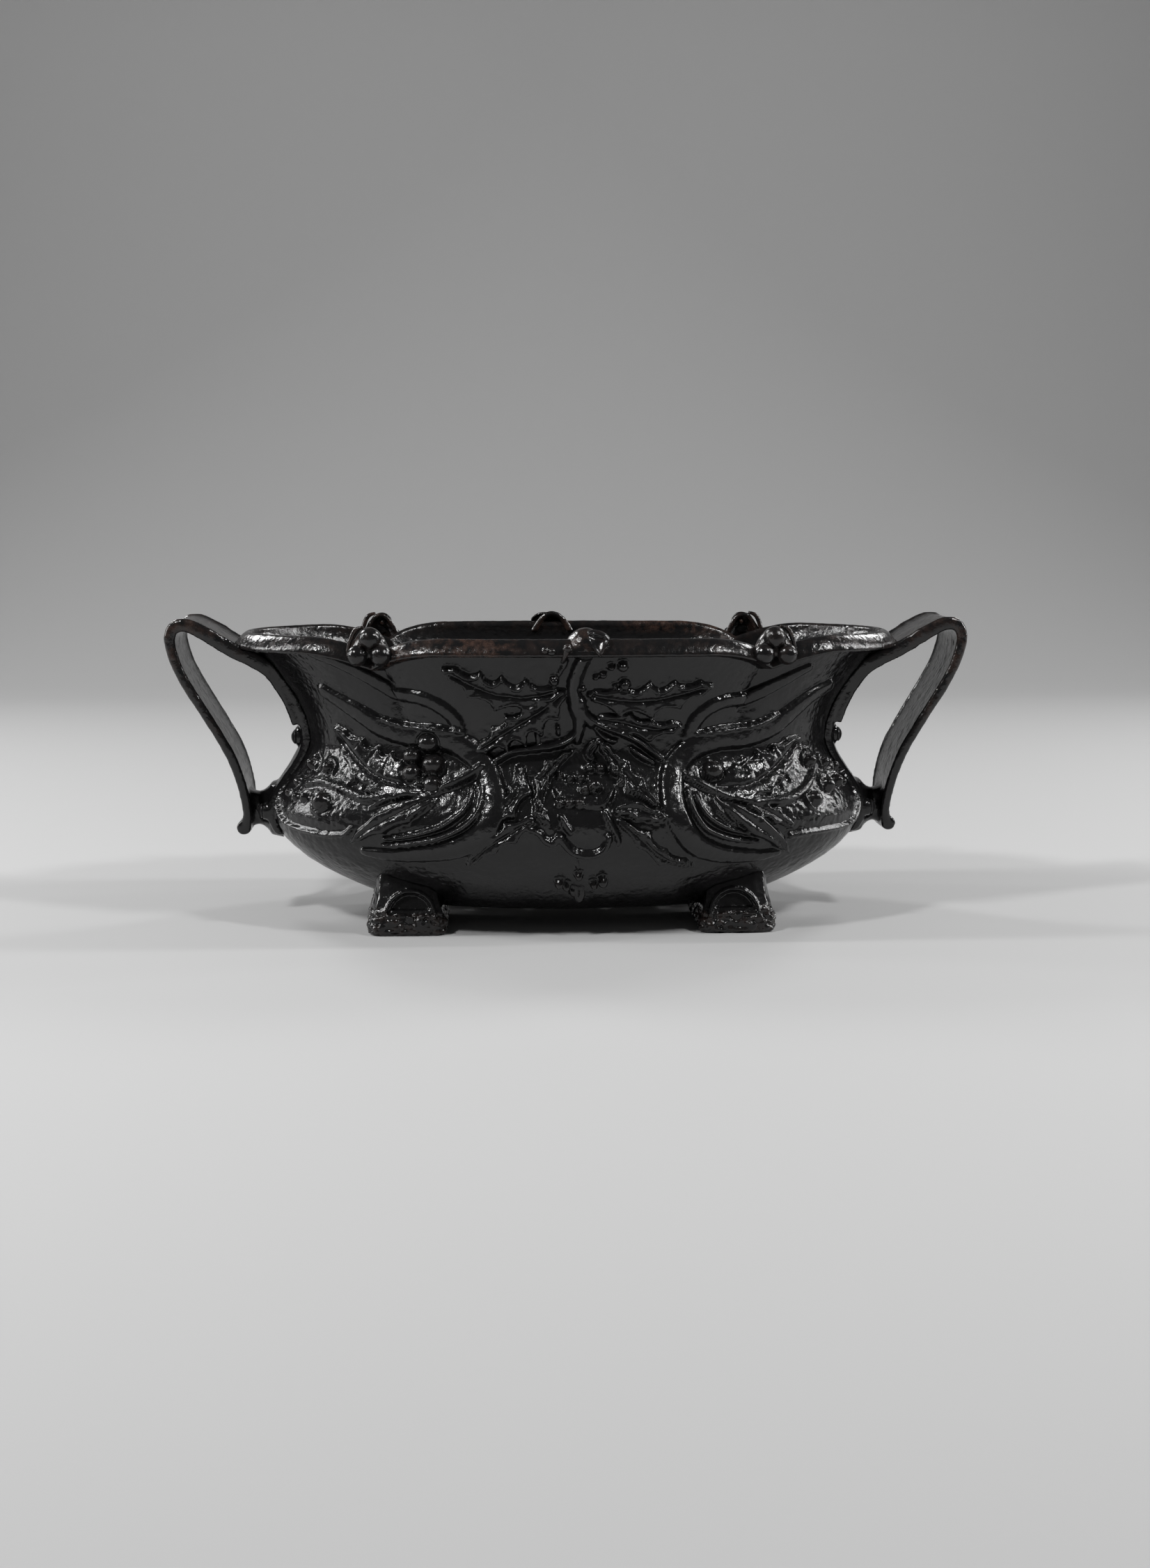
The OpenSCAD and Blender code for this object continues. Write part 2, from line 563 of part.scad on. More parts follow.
module foot() {
    difference() {
        union() {
            loft([for (q = foot_steps) foot_section(q)]);
            on_foot_front(2, 0.8) foot_arch(0, 0);
        }
        on_foot_front(1.2, 3) foot_arch(1.5, 0.6);
        on_foot_front(3.2, 3) foot_arch(2.8, 3);
        bowl_sector(seat_gap, corner_columns, 0, under_rows);
        translate([bolt_x, -bolt_y, -1]) cylinder(h = foot_top + 2, r = bolt_r + hole_gap, $fn = 24);
        translate([bolt_x, -bolt_y, -1]) cylinder(h = 1 + bolt_head_z + bolt_head_h, r = bolt_head_r + hole_gap, $fn = 32);
    }
}

module foot_front_right() { color(iron) foot(); }
module foot_front_left() { color(iron) mirror([1, 0, 0]) foot(); }
module foot_rear_left() { color(iron) rotate([0, 0, 180]) foot(); }
module foot_rear_right() { color(iron) mirror([0, 1, 0]) foot(); }

// Fasteners: a round-head screw with its head at the top of its shank, and a square nut
screw_head_r = 3.8;
screw_head_h = 2.4;
nut_w = 7;
nut_h = 3;
module round_screw(length) {
    cylinder(h = length, r = screw_r, $fn = 24);
    translate([0, 0, length])
        difference() {
            intersection() {
                cylinder(h = screw_head_h, r = screw_head_r, $fn = 32);
                translate([0, 0, screw_head_h - screw_head_r * 1.3]) sphere(screw_head_r * 1.3, $fn = 32);
            }
            translate([-screw_head_r, -0.4, screw_head_h - 0.9]) cube([2 * screw_head_r, 0.8, 2]);
        }
}
module square_nut(width, height, bore) {
    difference() {
        translate([-width / 2, -width / 2, 0]) cube([width, width, height]);
        translate([0, 0, -1]) cylinder(h = height + 2, r = bore, $fn = 24);
    }
}

// Length of a handle screw from under its head to just past its nut
function screw_length(z) = head_face(z) - nut_face(z) + nut_h + 1;
module handle_screws() {
    color(steel) for (side = [-1, 1], p = screw_places)
        translate([side * (nut_face(p[1]) - nut_h - 1), p[0], p[1]]) rotate([0, side * 90, 0])
            round_screw(screw_length(p[1]));
}
module handle_nuts() {
    color(steel) for (side = [-1, 1], p = screw_places)
        translate([side * (nut_face(p[1]) - nut_h), p[0], p[1]]) rotate([0, side * 90, 0])
            square_nut(nut_w, nut_h, screw_r + thread_gap);
}

bolt_head_z = 1;
bolt_head_h = 4;
bolt_head_r = 4.5;
foot_nut_w = 8;
foot_nut_h = 4;
module foot_bolts() {
    top = plate_z + plate_t + foot_nut_h + 1.5;
    color(steel) for (sx = [-1, 1], sy = [-1, 1])
        translate([sx * bolt_x, sy * bolt_y, bolt_head_z]) {
            cylinder(h = bolt_head_h, r = bolt_head_r, $fn = 32);
            cylinder(h = top - bolt_head_z, r = bolt_r, $fn = 24);
        }
}
module foot_nuts() {
    color(steel) for (sx = [-1, 1], sy = [-1, 1])
        translate([sx * bolt_x, sy * bolt_y, plate_z + plate_t]) square_nut(foot_nut_w, foot_nut_h, bolt_r + thread_gap);
}

front_shell();
rear_shell();
base_plate();
left_handle();
right_handle();
foot_front_left();
foot_front_right();
foot_rear_left();
foot_rear_right();
handle_screws();
handle_nuts();
foot_bolts();
foot_nuts();
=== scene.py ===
"""Looks of the oval cast iron planter: detailed castings, black paint and a plain studio.

The castings follow the named sizes of the construction. Lengths are in millimetres until a mesh is
made, which is in metres. The front looks along -Y and Z is up.
"""

import bpy
import numpy as np
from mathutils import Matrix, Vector


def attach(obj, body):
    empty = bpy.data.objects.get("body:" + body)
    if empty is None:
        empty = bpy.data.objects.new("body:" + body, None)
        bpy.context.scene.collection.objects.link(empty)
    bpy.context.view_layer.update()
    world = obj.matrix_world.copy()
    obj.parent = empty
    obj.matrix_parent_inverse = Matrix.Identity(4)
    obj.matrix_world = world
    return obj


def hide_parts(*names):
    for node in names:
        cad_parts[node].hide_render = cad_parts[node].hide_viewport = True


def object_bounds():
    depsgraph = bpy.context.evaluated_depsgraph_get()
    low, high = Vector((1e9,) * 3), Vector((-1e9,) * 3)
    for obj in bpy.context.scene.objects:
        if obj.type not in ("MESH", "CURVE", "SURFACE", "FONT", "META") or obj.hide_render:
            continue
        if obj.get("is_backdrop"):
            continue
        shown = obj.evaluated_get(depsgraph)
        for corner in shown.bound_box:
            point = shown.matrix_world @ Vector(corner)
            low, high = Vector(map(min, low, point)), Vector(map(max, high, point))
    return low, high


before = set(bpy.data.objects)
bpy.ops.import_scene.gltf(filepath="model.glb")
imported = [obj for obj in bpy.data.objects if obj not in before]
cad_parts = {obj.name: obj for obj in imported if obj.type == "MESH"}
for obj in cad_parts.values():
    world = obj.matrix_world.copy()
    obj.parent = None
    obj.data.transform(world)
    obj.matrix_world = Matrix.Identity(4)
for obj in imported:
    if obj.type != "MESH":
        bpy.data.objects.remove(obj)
cad_low, cad_high = (np.array(corner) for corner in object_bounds())

# Named sizes of the construction
BASE_Z, BELLY_Z, WAIST_Z, RIM_Z, LIP_Z = 12.0, 57.0, 96.0, 152.0, 143.0
HALF_LEN = (98.0, 157.0, 139.0, 176.0)
HALF_DEP = (58.0, 86.0, 68.0, 84.0)
SQUARENESS, FLARE = 2.2, 1.8
NOTCH_X, NOTCH_IN, NOTCH_DIP, NOTCH_SPAN = 107.0, 9.0, 8.0, 15.0
WALL, LEDGE_T, LEDGE_W = 4.0, 4.0, 20.0
SEAM_GAP, SEAT_GAP = 0.3, 0.3
SPINE_W, SPINE_T, SPINE_FOOT_Z, SPINE_TOP_Z, EDGE_W = 34.0, 4.0, 44.5, 131.0, 3.5
FOOT_X = 105.0
SCREWS = ((9.0, WAIST_Z), (-9.0, WAIST_Z), (12.5, BELLY_Z), (-12.5, BELLY_Z))
PAD_R, HEAD_R = 6.0, 4.6
TO_METRES = 0.001

# Sizes of the looks: steps of the fine grids, where the half casting's grid ends, and the room in the box
GRID, HANDLE_VOXEL, FOOT_VOXEL = 0.86, 0.85, 0.55
GRID_END, SEAM_END, PLAIN_Z = 183.0, 185.0, 26.0
BOX_ROOM = 2e-5


# Numbers and noise
def smooth(u):
    """A soft step from 0 to 1."""
    u = np.clip(u, 0, 1)
    return u * u * (3 - 2 * u)


TABLE = 4096


def cell_key(i, j, k):
    """A cell's place in a table, mixed so that neighbours are far apart."""
    return (i * 73856093 ^ j * 19349663 ^ k * 83492791) & (TABLE - 1)


def noise(points, cell, seed):
    """Smooth noise from -1 to 1 at points, with cells of that size."""
    table = np.random.default_rng(seed).uniform(-1, 1, TABLE)
    q = points / cell
    low = np.floor(q).astype(np.int64)
    f = q - low
    f = f * f * (3 - 2 * f)
    total = 0
    for corner in np.ndindex(2, 2, 2):
        key = cell_key(*(low[..., n] + corner[n] for n in range(3)))
        weight = np.prod([f[..., n] if corner[n] else 1 - f[..., n] for n in range(3)], axis=0)
        total = total + weight * table[key]
    return total


def pebbles(points, cell, seed):
    """Round bumps from 0 to 1, one in each cell of that size."""
    shifts = np.random.default_rng(seed).uniform(0.15, 0.85, (TABLE, 3))
    q = points / cell
    low = np.floor(q).astype(np.int64)
    nearest = np.full(q.shape[:-1], 9.0)
    for corner in np.ndindex(3, 3, 3):
        cells = [low[..., n] + corner[n] - 1 for n in range(3)]
        seeds = np.stack(cells, -1) + shifts[cell_key(*cells)]
        nearest = np.minimum(nearest, ((q - seeds) ** 2).sum(-1))
    return np.clip(1 - nearest * 2.2, 0, 1)


# The bowl's form
def profile(z, sizes):
    """Half length or half depth of the outer wall at a height."""
    base, belly, waist, rim = sizes
    low = base + (belly - base) * (1 - (1 - np.clip((z - BASE_Z) / (BELLY_Z - BASE_Z), 0, 1)) ** 2)
    side = belly + (waist - belly) * smooth((z - BELLY_Z) / (WAIST_Z - BELLY_Z))
    neck = waist + (rim - waist) * (np.maximum(z - WAIST_Z, 0) / (RIM_Z - WAIST_Z)) ** FLARE
    return np.where(z <= BELLY_Z, low, np.where(z <= WAIST_Z, side, neck))


def half_length(z):
    return float(profile(np.float64(z), HALF_LEN))


def notch(t):
    """Share of a rim notch at an angle."""
    at = np.degrees(np.arcsin((NOTCH_X / HALF_LEN[3]) ** (SQUARENESS / 2)))
    return np.clip(1 - np.abs(np.abs(t) - at) / NOTCH_SPAN, 0, 1) ** 2


def wall_rows(z):
    """Rows of the outer wall as [half length, half depth, height, share of the lobes]."""
    z = np.asarray(z, float)
    return np.stack([profile(z, HALF_LEN), profile(z, HALF_DEP), z,
                     smooth((z - WAIST_Z) / (LIP_Z - WAIST_Z))], -1)


def place(rows, t):
    """Points of the front half for rows and angles that broadcast together."""
    a, b, z, share = (rows[..., n] for n in range(4))
    cut = share * notch(t)
    r = np.radians(t)
    s, c = np.sin(r), np.cos(r)
    power = 2 / SQUARENESS
    return np.stack(np.broadcast_arrays((a - NOTCH_IN * cut) * np.sign(s) * np.abs(s) ** power,
                                        -(b - NOTCH_IN * cut) * np.abs(c) ** power,
                                        z - NOTCH_DIP * cut), -1)


ANGLES = np.linspace(0, 90, 1801)
GIRTHS = np.linalg.norm(np.diff(place(wall_rows(BELLY_Z)[None], ANGLES), axis=0), axis=1)
GIRTHS = np.concatenate([[0], np.cumsum(GIRTHS)])


def angle_at(girth):
    """Angle for a girth, the way along the belly from the middle of the front."""
    return np.sign(girth) * np.interp(np.abs(girth), GIRTHS, ANGLES)


def on_wall(places):
    """Points of the wall for places [girth, height]."""
    places = np.asarray(places, float)
    return place(wall_rows(places[:, 1]), angle_at(places[:, 0]))


def spline(points, steps):
    """Smooth path through points, with that many steps between two of them."""
    p = np.asarray(points, float)
    p = np.vstack([p[0], p, p[-1]])
    u = (np.arange(steps) / steps)[:, None]
    parts = [0.5 * (2 * b + (c - a) * u + (2 * a - 5 * b + 4 * c - d) * u ** 2
                    + (3 * b - a - 3 * c + d) * u ** 3)
             for a, b, c, d in zip(p, p[1:], p[2:], p[3:])]
    return np.vstack(parts + [p[-1:]])


# Relief: heights over the wall on a fine grid, in which every ornament is pressed
class Relief:
    """Places are [girth, height] on the wall; heights of the relief are over the wall."""
    def __init__(self, girths, heights):
        self.girths, self.z = girths, heights
        self.points = place(wall_rows(heights)[:, None, :], angle_at(girths)[None, :])
        across = np.gradient(self.points, axis=1)
        up = np.gradient(self.points, axis=0)
        normals = np.cross(across, up)
        self.normals = normals / np.linalg.norm(normals, axis=-1, keepdims=True)
        self.height = np.zeros(self.points.shape[:2])
        self.worn = np.zeros_like(self.height)

    def patch(self, places, margin):
        """Rows and columns of the grid near places."""
        places = np.atleast_2d(np.asarray(places, float))
        lo, hi = places.min(0) - margin, places.max(0) + margin
        cols = slice(*np.searchsorted(self.girths, [lo[0] - margin * 0.3, hi[0] + margin * 0.3]))
        rows = slice(*np.searchsorted(self.z, [lo[1], hi[1]]))
        return rows, cols

    def along(self, places, margin, steps=6):
        """The patch near a path, with each point's share of the way, distance and signed side."""
        rows, cols = self.patch(places, margin)
        line = on_wall(spline(places, steps))
        q = self.points[rows, cols].reshape(-1, 1, 3)
        start, step = line[:-1], np.diff(line, axis=0)
        size = np.maximum((step ** 2).sum(1), 1e-9)
        u = np.clip(((q - start) * step).sum(-1) / size, 0, 1)
        off = q - (start + u[..., None] * step)
        near = (off ** 2).sum(-1).argmin(1)
        pick = np.arange(len(q))
        off, u = off[pick, near], u[pick, near]
        lengths = np.concatenate([[0], np.cumsum(np.sqrt(size))])
        share = (lengths[near] + u * np.sqrt(size[near])) / lengths[-1]
        normal = self.normals[rows, cols].reshape(-1, 3)
        side = (np.cross(normal, step[near]) * off).sum(-1)
        shape = self.height[rows, cols].shape
        far = np.linalg.norm(off, axis=1)
        return (rows, cols), share.reshape(shape), far.reshape(shape), \
            (np.sign(side) * far).reshape(shape), lengths[-1]

    def press(self, where, height, blend=0.5):
        """Raises the patch to a height, with a small fillet where it meets what is there."""
        old = self.height[where]
        gap = np.maximum(blend - np.abs(old - height), 0) / blend
        self.height[where] = np.maximum(old, height) + gap * gap * blend / 4

    def band(self, places, width, height, tips=(1, 1), flat=6, crown=0.2, groove=0.0):
        """A strap with rounded edges, or a bead where flat is 2; tips scale its ends."""
        where, u, far, side, _ = self.along(places, width / 2 + 1.5)
        k = tips[0] + (1 - tips[0]) * np.clip(u / 0.3, 0, 1) if tips[0] != 1 else np.ones_like(u)
        k = k * (1 - (1 - tips[1]) * np.clip((u - 0.6) / 0.4, 0, 1) ** 2)
        x = far / (width / 2 * k)
        h = height * np.sqrt(k) * (1 - crown * x * x) * np.sqrt(np.clip(1 - x ** flat, 0, 1))
        if groove:
            h = h - groove * np.exp(-(side / (width * 0.09)) ** 2)
        self.press(where, np.where(x < 1, h, -1))

    def cut(self, places, width, depth):
        """A pit or groove pressed into what is there."""
        where, _, far, _, _ = self.along(places, width / 2 + 1)
        self.height[where] -= depth * np.exp(-(far / (width / 2)) ** 2)

    def leaf(self, places, widths, spines=4, height=2.2, depth=0.5, curl=0.9, vein=0.9, broad=0.85):
        """A holly leaf from its stalk to its tip; widths are of its two sides."""
        where, u, far, side, length = self.along(places, max(widths) + 2)
        left, right = widths
        full = np.where(side > 0, left, right)
        body = np.sin(np.pi * np.clip(u, 0.001, 1) ** broad) ** 0.7
        phase = np.clip(u - 0.05 * far / full, 0, 1) * (spines + 0.5)
        f = phase - np.floor(phase)
        scallop = 1 - depth * np.sin(np.pi * f) ** 0.75
        w = full * body * scallop + 0.5 * (1 - u)
        edge = w - far
        x = np.clip(far / np.maximum(w, 0.1), 0, 1)
        puckers = noise(self.points[where], 4.6, 31) * 0.28 + noise(self.points[where], 2.0, 32) * 0.2
        h = height * (0.75 + 0.25 * smooth(edge / 2.5)) + curl * np.exp(-((edge - 0.9) / 0.9) ** 2)
        h = h + 0.6 * np.sin(np.pi * x ** 0.7) + puckers * smooth(edge / 1.5)
        h = h - vein * (np.exp(-(far / 0.7) ** 2) + 0.5 * np.exp(-(far / 2.2) ** 2)) * smooth((1 - u) * 8)
        branch = np.minimum(f, 1 - f) * length / (spines + 0.5)
        h = h - 0.5 * np.exp(-(branch / 0.7) ** 2) * smooth(far / 2) * smooth(edge / 1.5)
        h = h * np.clip(0.55 + 3 * u, 0, 1)
        self.press(where, np.where(edge > 0, h * smooth(0.45 + edge / 0.9), -1))

    def berry(self, girth, height, radius, calyx=None, lift=0.3):
        """A ball that sits in a dark ring; calyx is the direction of a crescent round it."""
        where = self.patch([girth, height], radius * 1.5 + 3)
        centre = on_wall([[girth, height]])[0]
        off = self.points[where] - centre
        far = np.linalg.norm(off, axis=-1)
        ring = np.exp(-((far - radius - 0.55) / 0.55) ** 2)
        self.height[where] -= np.minimum(self.height[where] + 0.4, 1.6) * ring
        if calyx is not None:
            ahead = np.arctan2(off[..., 2], off[..., 0]) - np.radians(calyx)
            bow = np.clip(np.cos(ahead), 0, 1) ** 0.7
            rim = radius + 1.5
            x = np.abs(far - rim) / 1.1
            crescent = 2.0 * bow * np.sqrt(np.clip(1 - x * x, 0, 1))
            self.press(where, np.where((x < 1) & (bow > 0), crescent, -1))
        ball = lift * radius + np.sqrt(np.clip(radius ** 2 - far ** 2, 0, None))
        self.press(where, np.where(far < radius, ball, -1), blend=0.15)
        self.worn[where] = np.maximum(self.worn[where], 0.05 * (far < radius))

    def ground(self, spot, reach, height, cell, seed):
        """Pebbled ground round a place, which fades out at its reach."""
        where = self.patch(spot, reach)
        far = np.linalg.norm(self.points[where] - on_wall([spot])[0], axis=-1)
        bumps = pebbles(self.points[where], cell, seed)
        self.height[where] += height * bumps * smooth((reach - far) / (reach * 0.4))


# Widths and heights of the strapwork's ribbons on the belly and on the neck
RIBBON_W, RIBBON_T, NECK_RIBBON_W, NECK_RIBBON_T = 12.5, 3.6, 7.0, 2.4


def left_panel(r):
    """Left of the middle: ribbons, a large leaf over its stalk, and berries."""
    # Ribbons, and the twig below the neck's ribbon
    r.band([[-64, 103], [-67, 112], [-78, 121], [-94, 128], [-110, 137], [-128, 143]],
           NECK_RIBBON_W, NECK_RIBBON_T, (1, 0.6))
    r.band([[-140, 124], [-133, 119], [-121, 112], [-110, 106], [-92, 102.5], [-74, 101], [-58, 94],
            [-46, 82], [-41, 69], [-45, 57], [-57, 49], [-76, 45], [-98, 43], [-112, 44]],
           RIBBON_W, RIBBON_T, (0.6, 0.35), flat=5)
    r.band([[-64, 104.5], [-74, 105.5], [-81, 106.2], [-90, 107.5], [-99, 108.6], [-112, 112]], 2.6, 4.6,
           (0.8, 0.4), flat=2)
    r.band([[-63, 104.5], [-67, 107]], 3.2, 4.6, (0.8, 0.7), flat=2)
    # Pebbled ground and leaves
    r.ground([-126, 62], 20, 0.35, 2.2, 5)
    r.ground([-104, 64], 13, 0.3, 2.2, 6)
    r.leaf([[-79, 76], [-89, 77], [-99, 78], [-108, 80], [-115, 82.5], [-124, 87], [-131, 92], [-139, 99],
            [-142, 106]], (10, 16.5), 5, 3.2, depth=0.28, vein=1.5, broad=0.62)
    r.leaf([[-73, 71.5], [-84, 66.5], [-95, 61], [-105, 56], [-117, 48.5]], (6, 5.5), 3, 3.4, depth=0.25,
           broad=0.7)
    r.leaf([[-66, 92], [-58, 93], [-51, 89]], (4, 4), 2, 1.6, depth=0.2, curl=0.5)
    # Beads round the panel and along its stalks
    r.band([[-50, 79.5], [-48, 75], [-47.7, 69.3], [-49.9, 63.6], [-55, 59], [-61, 56], [-69, 53],
            [-77, 51.3], [-86, 49.6], [-100, 47.8]], 3.0, 4.0, (0.8, 0.5), flat=2)
    r.band([[-54.6, 77], [-54.2, 72], [-55.2, 67.8], [-58.5, 64], [-66, 59], [-72.6, 56.5], [-80.5, 54.3],
            [-89, 52.7], [-98, 51.4]], 2.8, 3.2, (0.8, 0.5), flat=2)
    r.band([[-179, 86], [-179.8, 77], [-179.5, 69], [-176, 62.5], [-167, 56], [-157, 53.2], [-146, 52.1],
            [-136, 51.5], [-128, 51.5], [-120.5, 52.2], [-115.5, 55.5]], 2.8, 2.6, (0.4, 0.9), flat=2.5)
    r.band([[-73, 74.5], [-80, 74.4], [-88, 74.1], [-96.6, 72.7], [-105, 70.8], [-111.5, 70], [-118, 71.8],
            [-127, 73.8], [-136, 75.4], [-145, 76], [-154, 74]], 4.4, 4.2, (0.8, 0.5), flat=2.5, groove=1.1)
    r.band([[-108, 73], [-113, 77], [-111, 79.5], [-106, 78.5]], 1.8, 3.6, (0.7, 0.7), flat=2)
    r.band([[-74, 72.8], [-84, 72.6], [-92, 72.1], [-98, 70.2], [-106.6, 66.2]], 2.8, 3.4, (1, 0.5), flat=2)
    r.band([[-51.5, 86.5], [-57, 82.5], [-64, 78.8], [-72, 75.6]], 5.2, 5.2, (1, 0.6), flat=3)
    # Berries as [girth, height, radius, direction of the calyx]
    berries = [(-83, 98.4, 5.2, None), (-92, 91.3, 4.9, None), (-78.7, 87, 5.8, None),
               (-89.5, 82.6, 5.0, None), (-76.5, 78, 4.4, None), (-136.8, 67.2, 4.8, 170),
               (-161.5, 84, 2.9, 20), (-145, 83.3, 3.3, 20), (-166, 74.4, 2.0, None), (-169, 69, 1.8, None),
               (-159, 67.8, 2.1, None), (-151, 68.2, 2.4, None)]
    for berry in berries:
        r.berry(*berry)
    # Gaps between the spines of the large leaf
    for pit in ([[-121, 77.5], [-124.5, 76.3]], [[-111.5, 75.6], [-114, 75.2]]):
        r.cut(pit, 2.6, 2.2)


def right_panel(r):
    """Right of the middle: the same pattern, with leaves and berries of its own."""
    # Ribbons, and the twig below the neck's ribbon
    r.band([[66, 101], [70, 111], [80, 119], [94, 124], [110, 129], [124, 136]],
           NECK_RIBBON_W, NECK_RIBBON_T, (1, 0.6))
    r.band([[150, 125], [140, 120], [131, 113], [121, 106], [104, 101.5], [84, 100], [68, 95], [56, 85],
            [51, 72], [53, 60], [62, 49], [78, 43], [99, 41], [112, 42]],
           RIBBON_W, RIBBON_T, (0.6, 0.35), flat=5)
    r.band([[70, 103], [74, 103.4], [86, 104.6], [97, 105.8], [105, 106.8], [113, 109], [120, 112]], 2.8,
           4.8, (0.8, 0.4), flat=2)
    # Pebbled ground and leaves
    r.ground([120, 58], 15, 0.6, 2.4, 15)
    r.ground([140, 60], 16, 0.25, 2.2, 17)
    r.leaf([[77, 76], [91, 75.4], [97, 76.2], [104, 78.1], [112, 81.3], [120.6, 85.3], [127, 88.7],
            [133.4, 92.9], [141, 98.5]], (15.5, 9.5), 5, 3.2, depth=0.28, vein=1.5, broad=0.62)
    r.leaf([[77, 69], [86, 62], [93, 57.5], [103.5, 51.5], [119, 41.5]], (4.8, 4.8), 2, 3.6, depth=0.2)
    r.leaf([[90, 67.5], [97, 65], [105, 61], [116, 54.5]], (5, 5), 3, 2.6)
    r.leaf([[72, 73], [76, 66], [83, 57]], (3, 3), 2, 1.6, depth=0.2)
    # Beads round the panel and along its stalk
    r.band([[60.5, 75], [60.2, 68.4], [62, 62.6], [66, 57.3], [73, 53.7], [82, 51], [96, 48.8]], 3.0, 4.0,
           (0.8, 0.5), flat=2)
    r.band([[64.5, 73], [65, 67.5], [68, 62.4], [74, 58.2], [80.5, 55.7], [90, 53]], 2.8, 3.2, (0.8, 0.5),
           flat=2)
    r.band([[179, 86], [180, 78], [179.5, 69], [176, 61], [169, 54.5], [160, 51.8], [144.6, 51.4],
            [129.5, 51], [115, 50.4]], 2.8, 2.4, (0.4, 1.25), flat=3)
    r.band([[62, 82.5], [66, 79.5], [70, 77], [75, 74.3], [82, 71.2], [90, 69.4], [98, 68.3], [107, 67.9],
            [115, 68.4], [123, 70], [130, 72.6], [138, 76.5], [144, 80.5]], 4.6, 4.2, (1, 0.6), flat=2.5,
           groove=1.1)
    # Berries as [girth, height, radius, direction of the calyx]
    berries = [(77.8, 83.4, 5.4, None), (145.8, 85.3, 3.7, 130), (159, 83.3, 3.1, 170),
               (169.5, 80.3, 2.8, 170), (177, 76.5, 1.9, None), (149, 72.9, 4.0, 140),
               (160.6, 73.8, 3.3, 60), (168.5, 72.4, 1.7, None), (133.5, 67.3, 4.0, 200),
               (63.5, 81.5, 2.4, None)]
    for berry in berries:
        r.berry(*berry)
    # Gaps between the spines of the large leaf
    for pit in ([[108.3, 87.4], [108.4, 90.6]], [[96, 81.2], [96.3, 84.4]], [[118, 91], [119, 93.6]],
                [[116, 74.6], [114.4, 77]], [[123.5, 77.6], [121.8, 79.6]]):
        r.cut(pit, 2.0, 1.6)


